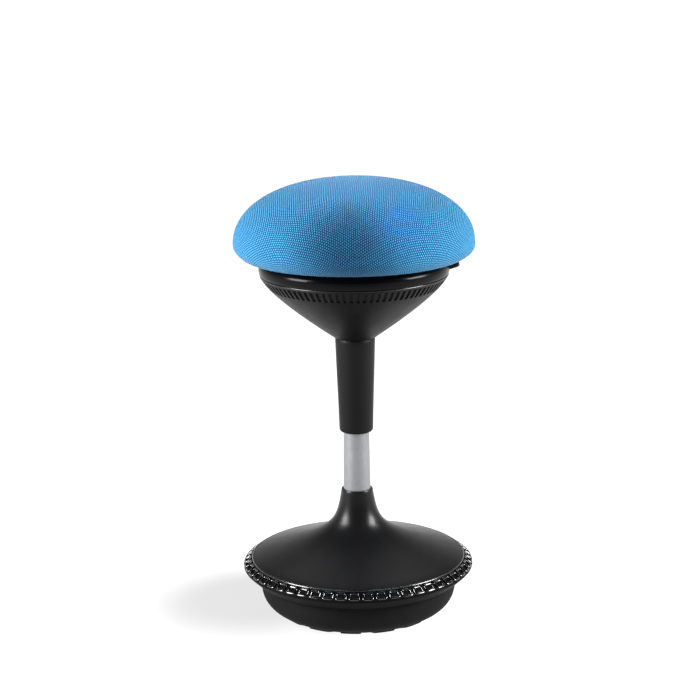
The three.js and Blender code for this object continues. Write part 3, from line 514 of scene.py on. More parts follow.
def box_object(name, xs, ys, zs, bevel=0.0):
    bm = bmesh.new()
    bmesh.ops.create_cube(bm, size=1)
    sides = (xs, ys, zs)
    for v in bm.verts:
        v.co = Vector([(low + high) / 2 + (high - low) * c for (low, high), c in zip(sides, v.co)]) * MM
    if bevel:
        bmesh.ops.bevel(bm, geom=bm.edges[:], offset=bevel * MM, segments=2, affect="EDGES", profile=0.5)
    return object_from(name, bm)


def round_object(name, place, radius, low, high):
    bm = bmesh.new()
    bmesh.ops.create_cone(
        bm, cap_ends=True, segments=24, radius1=radius * MM, radius2=radius * MM, depth=(high - low) * MM
    )
    bmesh.ops.translate(bm, verts=bm.verts[:], vec=Vector((place[0], place[1], (low + high) / 2)) * MM)
    return object_from(name, bm)


def bake(made):
    """Applies every modifier."""
    shaped = bpy.data.meshes.new_from_object(made.evaluated_get(bpy.context.evaluated_depsgraph_get()))
    made.modifiers.clear()
    made.data = shaped


def combine(target, other, operation):
    modifier = target.modifiers.new("shape", "BOOLEAN")
    modifier.operation = operation
    modifier.solver = "EXACT"
    modifier.object = other
    bake(target)
    bpy.data.objects.remove(other)


def finish_block(made, material=None):
    if material:
        made.data.materials.clear()
        made.data.materials.append(material)
    made.data.shade_smooth()
    made.data.set_sharp_from_angle(angle=math.radians(SHARP))


def read_points(mesh):
    co = np.empty(len(mesh.vertices) * 3, np.float32)
    mesh.vertices.foreach_get("co", co)
    return co.reshape(-1, 3)


def write_points(mesh, points):
    mesh.vertices.foreach_set("co", points.astype(np.float32).ravel())
    mesh.update()


# Tread and bowl
CROWN_R, FLAT_R, TREAD_R = 300, 43, 116
CROWN_Z = math.sqrt(CROWN_R**2 - FLAT_R**2)
TREAD_THICK, TREAD_PROUD = 5.0, 1.7
LUGS = 15
GROOVE_SHARE = 0.41  # of the angle from one lug to the next
GROOVE_START, GROOVE_RUN = 55.3, 1.2  # radius where the grooves begin, and how fast they get deep
GROOVE_SLOPE = [(-0.012, 0.0), (-0.006, 0.12), (0.0, 0.5), (0.006, 0.88), (0.012, 1.0)]
TREAD_EDGE_RUN, TREAD_EDGE_LIFT = 1, 0.45
BOWL_R, BOWL_WALL, BOWL_SHOULDER, BOWL_TOP = 140, 4, 56.5, 74
BOWL_START_R = TREAD_R + 2 * FIT
BOWL_TOE_SHARE, BOWL_SHOULDER_SHARE = 0.42, 0.52
BOWL_EDGE = 0.4


def crown_z(r, inset=0.0):
    """Height of the dome that the stool rocks on, or of one that lies inside it."""
    return CROWN_Z - math.sqrt((CROWN_R - inset) ** 2 - r * r)


def bowl_side(steps):
    z = crown_z(BOWL_START_R, TREAD_PROUD)
    slope = math.asin(BOWL_START_R / CROWN_R)
    rise = BOWL_SHOULDER - z
    reach = BOWL_TOE_SHARE * rise
    toe = (BOWL_START_R + reach * math.cos(slope), z + reach * math.sin(slope))
    shoulder = (BOWL_R, BOWL_SHOULDER - BOWL_SHOULDER_SHARE * rise)
    return bezier((BOWL_START_R, z), toe, shoulder, (BOWL_R, BOWL_SHOULDER), steps)


def make_bowl(m):
    side = bowl_side(28)
    inside = offset(side, BOWL_WALL)[1:][::-1]
    bottom = TREAD_THICK + FIT
    under = [(r, crown_z(r, bottom)) for r in (0, 40, 80, BOWL_START_R)]
    floor = [(r, crown_z(r, bottom + BOWL_WALL)) for r in (112, 75, 38, 0)]
    bore = BOWL_R - BOWL_WALL
    low = BOWL_TOP - BOWL_EDGE
    rim = [(BOWL_R, low), (BOWL_R - BOWL_EDGE, BOWL_TOP), (bore + BOWL_EDGE, BOWL_TOP), (bore, low)]
    bowl = lathe("base_bowl_shell", under + side + rim + inside + floor, m["bowl"])
    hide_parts("base_bowl")
    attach(bowl, "base")


def make_tread(m):
    """A domed pad cut into lugs by wedge-shaped grooves, with rounded edges."""
    half = GROOVE_SHARE / 2
    rise = [(0.5 - half + place, cut) for place, cut in GROOVE_SLOPE]
    fall = [(0.5 + half - place, cut) for place, cut in GROOVE_SLOPE][::-1]
    lug_start = [(place, 0.0) for place in (0.0, 0.08, 0.16, 0.24)]
    groove = [(place, 1.0) for place in (0.36, 0.43, 0.5, 0.57, 0.64)]
    lug_end = [(place, 0.0) for place in (0.76, 0.84, 0.92)]
    cuts = lug_start + rise + groove + fall + lug_end
    turns = [((k + place) * math.tau / LUGS, cut) for k in range(LUGS) for place, cut in cuts]
    edge_start = TREAD_R - TREAD_EDGE_RUN
    radii = [20, FLAT_R, 50]
    radii += [GROOVE_START + step for step in (-0.3, 0.3, 1.1, 1.7)]
    radii += [*range(64, 105, 8), 110, 114, edge_start, edge_start + 0.6, TREAD_R]
    verts = [(0, 0, 0)]
    rings = [[0] * len(turns)]
    for r in radii:
        depth = TREAD_PROUD * min(1, max(0, (r - GROOVE_START) / GROOVE_RUN))
        edge = TREAD_EDGE_LIFT * min(1, max(0, r - edge_start)) ** 2
        height = max(crown_z(r), 0)
        row = [polar(r, a, height + depth * cut + edge * (1 - cut)) for a, cut in turns]
        rings.append(add_ring(verts, row))
    for r in (TREAD_R, 80, 40):
        rings.append(add_ring(verts, [polar(r, a, crown_z(r, TREAD_THICK)) for a, _ in turns]))
    rings.append(add_ring(verts, [(0, 0, crown_z(0, TREAD_THICK) * MM)]) * len(turns))
    tread = add_object("tread_rubber", verts, skin(rings), m["rubber_black"], sharp=40)
    outward(tread)
    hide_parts("tread_pad")
    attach(tread, "base")


# Base cover: a shallow dish that sweeps up into a neck with a collar. The points of its rounded edges are given
# by how far into the wall and how far down they lie.
DISH_R, DISH_Z = 151, 98.5
DISH_SLOPE, DISH_REACH = math.radians(18.6), 124
NECK_SLOPE, NECK_REACH = math.radians(9.1), 57
COLLAR_R, COLLAR_BORE, COLLAR_Z = 22.3, 19.8, 197.5
COVER_WALL = 2.6
SKIRT_R, SKIRT_FOOT = BOWL_R - BOWL_WALL - FIT, 66
DISH_EDGE = [(0.0, 0.9), (0.3, 0.2)]
COLLAR_OUTER_EDGE = [(0.0, 0.5), (0.4, 0.05), (1.1, 0.0)]
COLLAR_INNER_EDGE = [(0.4, 0.0), (0.0, 0.3), (0.1, 0.6)]


def make_cover(m):
    edge_control = (
        DISH_R - DISH_REACH * math.cos(DISH_SLOPE),
        DISH_Z + DISH_REACH * math.sin(DISH_SLOPE),
    )
    neck_control = (
        COLLAR_R + NECK_REACH * math.sin(NECK_SLOPE),
        COLLAR_Z - NECK_REACH * math.cos(NECK_SLOPE),
    )
    top = bezier((DISH_R, DISH_Z), edge_control, neck_control, (COLLAR_R, COLLAR_Z), 64)
    edge = [(DISH_R - into, DISH_Z - down) for into, down in DISH_EDGE]
    collar = [(COLLAR_R - into, COLLAR_Z - down) for into, down in COLLAR_OUTER_EDGE]
    collar += [(COLLAR_BORE + into, COLLAR_Z - down) for into, down in COLLAR_INNER_EDGE]
    under = offset(top, COVER_WALL)
    under[0] = (DISH_R, DISH_Z - COVER_WALL)
    inner = SKIRT_R - COVER_WALL
    skirt = [(inner, at_radius(under, inner)), (inner, SKIRT_FOOT), (SKIRT_R, SKIRT_FOOT)]
    skirt.append((SKIRT_R, at_radius(under, SKIRT_R)))
    lip = [p for p in under if p[0] > SKIRT_R]
    roof = [p for p in under[:-1] if p[0] < inner]
    outline = edge + top[1:-1] + collar + roof[::-1] + skirt + lip[::-1]
    cover = lathe("base_cover_shell", outline, m[SATIN])
    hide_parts("base_cover")
    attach(cover, "base")


# Rim bumper. Its sloping face runs out from the dish's edge to the round. Places on it are given by their
# distance along it, from the round or from its inner end, and their depth under it.
RIM_R, RIM_ROUND = 165.2, 4.0
RIM_MIDDLE = Vector((RIM_R - RIM_ROUND, DISH_Z - 12))
FACE_IN = Vector((DISH_R + 0.7, DISH_Z - 0.3))
RIM_LIP = Vector((DISH_R - 0.8, DISH_Z - 28))
RIM_ROOT_Z = DISH_Z + 1.7
CHANNEL_DEPTH = 1.25
CHANNEL_FROM_ROUND = [(0.3, 0.5), (0.9, CHANNEL_DEPTH)]
CHANNEL_FROM_END = [(3.6, CHANNEL_DEPTH), (3.2, 1.9), (2.1, 1.9), (1.9, 0.9), (0.0, 0.9)]
EDGE_BEAD_R, EDGE_BEAD_FROM_END, EDGE_BEAD_DEPTH = 1.05, 0.9, 0.55
LINKS = 54
LINK_TURN = -88.9
LINK_IN, LINK_DEPTH = 4.6, 0.45  # of a loop's middle
LINK_HALF_LONG, LINK_HALF_WIDE, LINK_CORNER = 6.4, 5.1, 2.6
LINK_BAR_HALF_WIDE, LINK_BAR_HALF_HIGH = 1.55, 1.0
LINK_CORNER_STEPS, LINK_BAR_SIDES = 5, 12


def tangent_angle(place, side):
    """The direction from the round's middle to where a line from the place touches the round."""
    away = place - RIM_MIDDLE
    return math.atan2(away.y, away.x) + side * math.acos(RIM_ROUND / away.length)


FACE_ANGLE = tangent_angle(FACE_IN, -1)
FACE_OUT = RIM_MIDDLE + RIM_ROUND * Vector((math.cos(FACE_ANGLE), math.sin(FACE_ANGLE)))
FACE_LENGTH = (FACE_IN - FACE_OUT).length
FACE_ALONG = (FACE_IN - FACE_OUT).normalized()
FACE_DOWN = Vector((-FACE_ALONG.y, FACE_ALONG.x))


def on_face(along, depth):
    p = FACE_OUT + FACE_ALONG * along + FACE_DOWN * depth
    return (p.x, p.y)


def make_rim(m):
    """A body with a shallow channel on its sloping face, a bead at the face's inner end, and the chain."""
    channel = [on_face(along, depth) for along, depth in CHANNEL_FROM_ROUND]
    channel.append(on_face(FACE_LENGTH / 2, CHANNEL_DEPTH))
    channel += [on_face(FACE_LENGTH - short, depth) for short, depth in CHANNEL_FROM_END]
    foot = BOWL_R + 2 * FIT
    root = BOWL_R - BOWL_WALL + FIT
    under = [(foot, RIM_LIP.y + 0.2), (RIM_LIP.x - 1, RIM_LIP.y), (RIM_LIP.x + 0.1, RIM_LIP.y + 0.2)]
    turns = (math.degrees(tangent_angle(RIM_LIP, 1)), math.degrees(FACE_ANGLE))
    around = arc(*RIM_MIDDLE, RIM_ROUND, RIM_ROUND, *turns, 10)
    inside = [(DISH_R + 2 * FIT, DISH_Z - 3), (root, RIM_ROOT_Z)]
    inside += [(root, BOWL_TOP + FIT), (foot, BOWL_TOP + FIT)]
    outline = under + around + channel + inside
    body = lathe("rim_bumper_body", outline, m["lip"], segments=LINKS * 4)
    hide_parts("rim_bumper")
    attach(body, "base")
    middle = on_face(FACE_LENGTH - EDGE_BEAD_FROM_END, EDGE_BEAD_DEPTH)
    bead = lathe("rim_edge_bead", oval(*middle, EDGE_BEAD_R, EDGE_BEAD_R), m[GLOSS])
    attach(bead, "base")
    make_links(m)


def make_links(m):
    """The chain pattern: rounded rectangular loops that stand in the channel, a gap apart."""
    middle = FACE_OUT + FACE_ALONG * LINK_IN + FACE_DOWN * LINK_DEPTH
    base = Vector((middle.x, 0, middle.y))
    up = -Vector((FACE_DOWN.x, 0, FACE_DOWN.y))
    side = Vector((FACE_ALONG.x, 0, FACE_ALONG.y))
    tangent = Vector((0, 1, 0))
    path = []
    for sx, sy, start in ((1, 1, 0), (-1, 1, 90), (-1, -1, 180), (1, -1, 270)):
        for step in range(LINK_CORNER_STEPS + 1):
            a = math.radians(start + 90 / LINK_CORNER_STEPS * step)
            x = sx * (LINK_HALF_LONG - LINK_CORNER) + LINK_CORNER * math.cos(a)
            y = sy * (LINK_HALF_WIDE - LINK_CORNER) + LINK_CORNER * math.sin(a)
            path.append((x, y, math.cos(a), math.sin(a)))
    around = [math.tau * k / LINK_BAR_SIDES for k in range(LINK_BAR_SIDES)]
    section = [(math.cos(t) * LINK_BAR_HALF_WIDE, math.sin(t) * LINK_BAR_HALF_HIGH) for t in around]
    verts, faces = [], []
    for k in range(LINKS):
        turn = Matrix.Rotation(math.radians(LINK_TURN) + (k + 0.5) * math.tau / LINKS, 3, "Z")
        rings = []
        for x, y, nx, ny in path:
            bar = [base + tangent * (x + nx * a) + side * (y + ny * a) + up * b for a, b in section]
            rings.append(add_ring(verts, [turn @ (p * MM) for p in bar]))
        faces += skin(rings, closed=True)
    links = add_object("rim_links", verts, faces, m[GLOSS], sharp=70)
    outward(links)
    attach(links, "base")


# Column, with the bush in its top and the gas cylinder that slides in it
COLUMN_TAPER = [(19.5, 17), (19.5, 189.5), (19.2, 216), (18.7, 254), (17.9, 296), (17.4, 386)]
COLUMN_BORE, COLUMN_FLOOR_Z, ROD_HOLE_R = 15.9, 21, 4.3
BUSH_R, BUSH_BORE, BUSH_FOOT_Z, BUSH_FLANGE = 15.6, 14.3, 326, 2.5
CYLINDER_R, CYLINDER_BORE, CYLINDER_TOP_R, PIN_HOLE_R = 14, 12.4, 13.2, 3.3
CYLINDER_TAPER_Z, CYLINDER_HEAD_Z, CYLINDER_TOP_Z = 466, 485, 500
TUBE_EDGE, TUBE_SIDES = 0.5, 96


def tube_piece(m, name, outline, slot):
    return lathe(name, softened(outline, TUBE_EDGE), m[slot], segments=TUBE_SIDES)


def make_column(m):
    foot_z = COLUMN_TAPER[0][1]
    top_r, top_z = COLUMN_TAPER[-1]
    bore = [(COLUMN_BORE, top_z), (COLUMN_BORE, COLUMN_FLOOR_Z)]
    bore += [(ROD_HOLE_R, COLUMN_FLOOR_Z), (ROD_HOLE_R, foot_z)]
    tube = tube_piece(m, "column_tube_skin", COLUMN_TAPER + bore, "tube_silver")
    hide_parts("column_tube")
    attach(tube, "base")
    seat_z = top_z + FIT
    bush = [(BUSH_BORE, BUSH_FOOT_Z), (BUSH_R, BUSH_FOOT_Z), (BUSH_R, seat_z), (top_r, seat_z)]
    bush += [(top_r, seat_z + BUSH_FLANGE), (BUSH_BORE, seat_z + BUSH_FLANGE)]
    collar = tube_piece(m, "guide_bush_ring", bush, "nylon_white")
    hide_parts("guide_bush")
    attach(collar, "base")
    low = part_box("gas_cylinder")[0][2] / MM
    shell = [(CYLINDER_R, low), (CYLINDER_R, CYLINDER_TAPER_Z), (CYLINDER_TOP_R, CYLINDER_TOP_Z)]
    shell += [(PIN_HOLE_R, CYLINDER_TOP_Z), (PIN_HOLE_R, CYLINDER_HEAD_Z)]
    shell += [(CYLINDER_BORE, CYLINDER_HEAD_Z), (CYLINDER_BORE, low)]
    cylinder = tube_piece(m, "gas_cylinder_skin", shell, "steel_black")
    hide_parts("gas_cylinder")
    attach(cylinder, "seat")


# Sleeve: (radius, height) up its outside, over a rolled lip
SLEEVE_LIP_BORE, SLEEVE_LIP_Z, SLEEVE_LIP_ROUND = 19.8, 286.5, 4.2
SLEEVE_TAPER = [(24.2, 294.5), (25.4, 334.5), (26.9, 376), (28.1, 414), (28.2, 418.2), (27.8, 418.9)]
SLEEVE_INSIDE = [(25.4, 419), (21, 290.7), (SLEEVE_LIP_BORE, SLEEVE_LIP_Z)]


def make_sleeve(m):
    lip = arc(SLEEVE_LIP_BORE, SLEEVE_LIP_Z, SLEEVE_LIP_ROUND, SLEEVE_LIP_ROUND, -90, 0, 8)
    sleeve = lathe("sleeve_shell", lip + SLEEVE_TAPER + SLEEVE_INSIDE, m["cone"], segments=128)
    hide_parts("sleeve")
    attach(sleeve, "seat")


# Bowl-shaped housing with its ring of fine grooves
FLARE_R, FLARE_Z, FLARE_ANGLE, FLARE_START_REACH = 28.4, 419.3, math.radians(49.7), 3
RING_R, RING_TOP, FLARE_END_Z, FLARE_END_REACH = 133.5, 531.5, 516, 25.5
HOUSING_WALL = 2.5
HOUSING_TOP, HOUSING_EDGE_Z = 508.5, 508
HOUSING_EDGE = [(0.0, 0.6), (0.1, 0.2), (0.5, 0.0)]  # in and down from the top
HOUSING_LIP_Z, HOUSING_LIP_TOP, HOUSING_LIP_IN, HOUSING_LIP_WALL = 507.5, 512.2, 3.3, 2.5
FLARE_ROWS = np.linspace(419.4, 489.5, 30)
INSIDE_ROWS = (506.4, 480, 460, 440, 428)
SPIGOT = [(22, 419.3), (22, 405.4), (24, 405.4), (24, 419.4)]
SLOTS = 88
SLOT_LOW, SLOT_HIGH, SLOT_DEPTH = 492.9, 506.6, 2.3
# Shares of a slot's depth: by the height over its lower end, and by the distance from its middle in shares of
# the pitch
SLOT_END = [(-0.35, 0.0), (0.0, 0.15), (0.35, 1.0)]
SLOT_SIDE = [(0.235, 1.0), (0.255, 0.12), (0.29, 0.0)]
SLOT_SECTION = [(-across, share) for across, share in SLOT_SIDE[::-1]] + SLOT_SIDE + [(0.5, 0.0)]


def flare_run(steps):
    start = (FLARE_R, FLARE_Z)
    reach = FLARE_START_REACH
    control = (FLARE_R + reach * math.sin(FLARE_ANGLE), FLARE_Z + reach * math.cos(FLARE_ANGLE))
    return bezier(start, control, (RING_R, FLARE_END_Z - FLARE_END_REACH), (RING_R, FLARE_END_Z), steps)


FLARE = flare_run(300)


def make_housing(m):
    """The flare, in rows of (radius, height, share of a slot's depth). Each groove is a true recess."""
    rows = [(at_height(FLARE, z), z, 0.0) for z in FLARE_ROWS]
    slot = [(SLOT_LOW + rise, share) for rise, share in SLOT_END]
    slot.append(((SLOT_LOW + SLOT_HIGH) / 2, 1.0))
    slot += [(SLOT_HIGH - rise, share) for rise, share in SLOT_END[::-1]]
    rows += [(at_height(FLARE, z), z, share) for z, share in slot]
    edge = at_height(FLARE, HOUSING_EDGE_Z)
    rows += [(edge - into, HOUSING_TOP - down, 0.0) for into, down in HOUSING_EDGE]
    lip = at_height(FLARE, HOUSING_LIP_Z) - HOUSING_LIP_IN
    lip_bore = lip - HOUSING_LIP_WALL
    rows += [(lip, HOUSING_TOP, 0.0), (lip, HOUSING_LIP_TOP, 0.0), (lip_bore, HOUSING_LIP_TOP, 0.0)]
    inside = offset(FLARE, HOUSING_WALL)
    rows += [(at_height(inside, z), z, 0.0) for z in INSIDE_ROWS]
    rows += [(r, z, 0.0) for r, z in SPIGOT]
    pitch = math.tau / SLOTS
    turns = [((k + 0.5 + s) * pitch, w) for k in range(SLOTS) for s, w in SLOT_SECTION]
    verts, rings = [], []
    for r, z, share in rows:
        rings.append(add_ring(verts, [polar(r - share * SLOT_DEPTH * w, a, z) for a, w in turns]))
    faces = skin(rings, closed=True)
    housing = add_object("bowl_housing_shell", verts, faces, m["cone"], sharp=34)
    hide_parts("bowl_housing")
    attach(housing, "seat")


# Trim ring, notched at the right for the lever, with lugs up to the seat board
RING_FOOT, RING_WALL, RING_FLANGE_R = 508.8, 3.0, 104
RING_SHOULDER_R, RING_SHOULDER_Z, RING_INNER_ROUND = 11.7, 11.5, 12.5
RING_TOE = [(1.6, 0.0), (1.0, 0.8), (0.5, 2.2)]  # in from the flare and up from the foot
RING_HEEL_IN, RING_HEEL_RISE = 3.4, 5.2
RING_FLANK = [(132.6, 513.0), (133.1, 515.0), (133.4, 517.5)]
RING_SIDES = 256
RING_BEAD_R, RING_BEAD_HALF_HIGH, RING_BEAD_IN, RING_BEAD_RISE = 1.1, 1.15, 0.6, 0.9
NOTCH = ((115, 136), (-14, 14), (512.6, 540))
RING_LUGS = 4
LUG, LUG_BEVEL = ((86, 105), (-8, 8), (528.5, 531.5)), 0.4
LUG_PAD, LUG_PAD_BEVEL = ((86, 98), (-8, 8), (531.4, 535.5)), 0.3
LUG_HOLE_X, LUG_HOLE_R, LUG_HOLE_ENDS = 92, 2.6, (520, 540)


def make_ring(m):
    """The glossy band and the bead under it, with the notch, and the lugs with their screw holes."""
    foot = at_height(FLARE, RING_FOOT)
    bead = oval(foot - RING_BEAD_IN, RING_FOOT + RING_BEAD_RISE, RING_BEAD_R, RING_BEAD_HALF_HIGH)
    edge = lathe("trim_ring_bead", bead, m["edge"], segments=RING_SIDES)
    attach(edge, "seat")
    outer = [(foot - into, RING_FOOT + rise) for into, rise in RING_TOE] + RING_FLANK
    shoulder = (RING_R - RING_SHOULDER_R, RING_TOP - RING_SHOULDER_Z)
    outer += arc(*shoulder, RING_SHOULDER_R, RING_SHOULDER_Z, 0, 90, 18)
    inner = [(RING_FLANGE_R, RING_TOP), (RING_FLANGE_R, RING_TOP - RING_WALL)]
    round_in = RING_WALL + RING_INNER_ROUND
    inner += arc(RING_R - round_in, RING_TOP - round_in, RING_INNER_ROUND, RING_INNER_ROUND, 90, 0, 14)
    heel = foot - RING_HEEL_IN
    inner += [(heel, RING_FOOT + RING_HEEL_RISE), (heel, RING_FOOT)]
    ring = lathe("trim_ring_band", outer + inner, m["band"], segments=RING_SIDES)
    combine(ring, box_object("notch", *NOTCH), "DIFFERENCE")
    for k in range(RING_LUGS):
        lug = box_object(f"trim_ring_lug_{k + 1}", *LUG, LUG_BEVEL)
        combine(lug, box_object("pad", *LUG_PAD, LUG_PAD_BEVEL), "UNION")
        combine(lug, round_object("hole", (LUG_HOLE_X, 0), LUG_HOLE_R, *LUG_HOLE_ENDS), "DIFFERENCE")
        lug.data.transform(Matrix.Rotation(k * math.tau / RING_LUGS, 4, "Z"))
        finish_block(lug, m[GLOSS])
        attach(lug, "seat")
    finish_block(ring)
    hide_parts("trim_ring")
    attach(ring, "seat")


# Lever's grip: place along X, height of the middle, half thickness, half width, and lean in degrees. It starts
# on the line of the arm.
LEVER_PIVOT, LEVER_END = (34, 511.5), (120, 516.3)
LEVER_RISE = (LEVER_END[1] - LEVER_PIVOT[1]) / (LEVER_END[0] - LEVER_PIVOT[0])
GRIP_START = [(x, LEVER_PIVOT[1] + LEVER_RISE * (x - LEVER_PIVOT[0])) for x in (106, 112)]
GRIP_STATIONS = [(x, z, 2.6, 12.0, 0) for x, z in GRIP_START] + [
    (*LEVER_END, 2.4, 12.0, 0),
    (128, 516.9, 2.2, 12.0, 6),
    (134, 518.0, 2.1, 12.0, 14),
    (138, 519.4, 2.4, 11.8, 22),
    (141, 520.8, 3.1, 11.4, 20),
    (143.6, 521.8, 3.2, 10.8, 16),
    (145.6, 522.4, 2.5, 9.8, 14),
    (146.6, 522.7, 1.3, 8.6, 12),
]
GRIP_SIDES = 24
GRIP_SQUARE_Y, GRIP_SQUARE_Z = 0.35, 0.6  # powers that square off its section


def make_paddle(m):
    """The moulded grip: a flat bar whose end turns up into a rounded finger tip."""
    verts, rings = [], []
    for x, z, half, wide, lean in GRIP_STATIONS:
        a = math.radians(lean)
        row = []
        for k in range(GRIP_SIDES):
            t = math.tau * k / GRIP_SIDES
            c, s = math.cos(t), math.sin(t)
            y = wide * math.copysign(abs(c) ** GRIP_SQUARE_Y, c)
            h = half * math.copysign(abs(s) ** GRIP_SQUARE_Z, s)
            row.append(((x - h * math.sin(a)) * MM, y * MM, (z + h * math.cos(a)) * MM))
        rings.append(add_ring(verts, row))
    faces = skin(rings) + [rings[0][::-1], rings[-1]]
    grip = add_object("lever_grip", verts, faces, m[SATIN], sharp=50)
    outward(grip)
    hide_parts("lever_paddle")
    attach(grip, "lever")


# Cushion
SEAT_R, SEAT_TOP, WAIST, UNDER, UNDER_R = 168.8, 643.6, 552.5, 533.3, 148.5
CROWN_POWER, UNDER_POWER = 2.18, 1.5
FINE_STEPS = (160, 40)  # of an outline that is only measured, over and under the waist
SWELL_ROOM = 3.0  # how much smaller the form is before it is blown up
VOXEL, SWELL_CAP, SWELL_FRAMES = 5.5, 6, 20
HEM_HIGH, HEM_IN = 6, 8  # of the cloth held where the cover meets the seat board
EASING = 0.12  # share kept of the way from the outline to where the cloth came to rest
EASE_RISE = 6  # height over the waist of the point that the easing works towards and away from
FLAT_HIGH, FLAT_IN = 8, 14  # of the underside that is made flat
# The folds: how deep and how many, then how far under the waist and from what radius they begin, each with the
# stretch over which they grow
FOLD, FOLDS, FINE_FOLDS = 0.32, 46, 83
FOLD_DROP, FOLD_FADE, FOLD_START_R, FOLD_RUN = 6, 12, 118, 20
WAVE, WAVE_HIGH = 1.2, 60
# The pad hangs a little fuller over the ring at the right: how much, at what height and over what stretch of
# it, at what turn and how far round
FULL, FULL_Z, FULL_HIGH, FULL_TURN, FULL_WIDE = 2.6, 542.5, 8, 0.05, 0.6
UNROLL_DROP = 10  # under the waist, of the place that the cloth is unrolled about


def cushion_run(inset, steps, under_steps=14):
    """The pad's side from the underside up to the top, as two quarters of a squared-off ellipse."""

    def quarter(radius, height, power, count):
        out = []
        for i in range(count + 1):
            a = math.pi / 2 * i / count
            c = 0.0 if i == count else math.cos(a)
            out.append((radius * c ** (2 / power), height * math.sin(a) ** (2 / power)))
        return out

    below = quarter(SEAT_R - inset - UNDER_R, WAIST - UNDER - inset, UNDER_POWER, under_steps)
    lower = [(UNDER_R + x, WAIST - z) for x, z in below][::-1]
    above = quarter(SEAT_R - inset, SEAT_TOP - inset - WAIST, CROWN_POWER, steps)
    return lower + [(x, WAIST + z) for x, z in above[1:]]


def make_cushion(m):
    """The upholstered pad: a closed form, blown up a little as cloth over foam, and drawn in underneath."""
    inset = SWELL_ROOM
    outline = [(0, UNDER + inset)] + cushion_run(inset, 48)
    pad = lathe("seat_cushion", outline, m["mesh_blue"], segments=160, sharp=60)
    inflate(pad)
    gather(pad)
    unroll(pad)
    pad.data.shade_smooth()
    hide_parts("seat_cover", "foam_pad")
    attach(pad, "seat")


def inflate(pad):
    """Cloth under pressure, held where the cover meets the seat board, then refined and seated."""
    remesh = pad.modifiers.new("remesh", "REMESH")
    remesh.mode = "VOXEL"
    remesh.voxel_size = VOXEL * MM
    bake(pad)
    rest = read_points(pad.data)
    radius = np.hypot(rest[:, 0], rest[:, 1])
    pins = pad.vertex_groups.new(name="pins")
    held = np.nonzero((rest[:, 2] < (UNDER + HEM_HIGH) * MM) & (radius < (UNDER_R - HEM_IN) * MM))[0]
    pins.add([int(i) for i in held], 1.0, "REPLACE")
    cloth = pad.modifiers.new("cloth", "CLOTH")
    settings = cloth.settings
    settings.quality = 6
    settings.mass = 0.4
    settings.tension_stiffness = 30
    settings.compression_stiffness = 25
    settings.shear_stiffness = 12
    settings.bending_stiffness = 4
    settings.use_pressure = True
    settings.uniform_pressure_force = 4
    settings.vertex_group_mass = "pins"
    settings.effector_weights.gravity = 0
    cloth.collision_settings.use_collision = False
    cloth.collision_settings.use_self_collision = False
    cloth.point_cache.frame_start = 1
    cloth.point_cache.frame_end = SWELL_FRAMES
    scene = bpy.context.scene
    for number in range(1, SWELL_FRAMES + 1):
        scene.frame_set(number)
    bake(pad)
    step = read_points(pad.data) - rest
    size = np.linalg.norm(step, axis=1, keepdims=True)
    step *= np.minimum(1, SWELL_CAP * MM / np.maximum(size, NONE * MM))
    write_points(pad.data, rest + step)
    scene.frame_set(1)
    finer = pad.modifiers.new("finer", "SUBSURF")
    finer.levels = 1
    finer.render_levels = 1
    bake(pad)
    write_points(pad.data, seated(read_points(pad.data)))


def seated(points):
    """Eases each point of the swollen pad most of the way to the outline measured in the photograph."""
    run = [(r, UNDER) for r in (0, 40, 80, 110, 130, 140)] + cushion_run(0.0, *FINE_STEPS)
    middle = (WAIST + EASE_RISE) * MM
    shape = np.array(run) * MM
    angle = np.arctan2(shape[:, 1] - middle, shape[:, 0])
    reach = np.hypot(shape[:, 0], shape[:, 1] - middle)
    order = np.argsort(angle)
    radius = np.hypot(points[:, 0], points[:, 1])
    height = points[:, 2] - middle
    here = np.hypot(radius, height)
    limit = np.interp(np.arctan2(height, radius), angle[order], reach[order])
    share = (limit + EASING * (here - limit)) / np.maximum(here, NONE * MM)
    flat = (points[:, 2] < (UNDER + FLAT_HIGH) * MM) & (radius < (UNDER_R - FLAT_IN) * MM)
    out = points.copy()
    out[:, 0] *= np.where(flat, 1, share)
    out[:, 1] *= np.where(flat, 1, share)
    out[:, 2] = np.where(flat, UNDER * MM, middle + height * share)
    out[:, 2] = np.maximum(out[:, 2], UNDER * MM)
    return out


def gather(pad):
    """Radial folds where the cloth is drawn in under the seat, a slow wave above, and the fuller side."""
    co = read_points(pad.data).astype(np.float64)
    radius = np.hypot(co[:, 0], co[:, 1]) / MM
    height = co[:, 2] / MM
    turn = np.arctan2(co[:, 1], co[:, 0])
    below = np.clip((WAIST - FOLD_DROP - height) / FOLD_FADE, 0, 1)
    below *= np.clip((radius - FOLD_START_R) / FOLD_RUN, 0, 1)
    folds = np.sin(FOLDS * turn + 1.7 * np.sin(5 * turn)) + 0.5 * np.sin(FINE_FOLDS * turn + 0.8)
    soft = np.clip((height - WAIST) / WAVE_HIGH, 0, 1)
    wave = 0.5 * np.sin(3 * turn + 0.6) + 0.35 * np.sin(5 * turn + 2.1)
    fuller = np.exp(-(((turn - FULL_TURN) / FULL_WIDE) ** 2) - ((height - FULL_Z) / FULL_HIGH) ** 2)
    push = FOLD * below * folds + WAVE * soft * (1 - soft) * wave + FULL * fuller
    size = np.maximum(radius, NONE)
    out = co.copy()
    out[:, 0] += co[:, 0] / size * push
    out[:, 1] += co[:, 1] / size * push
    write_points(pad.data, out)


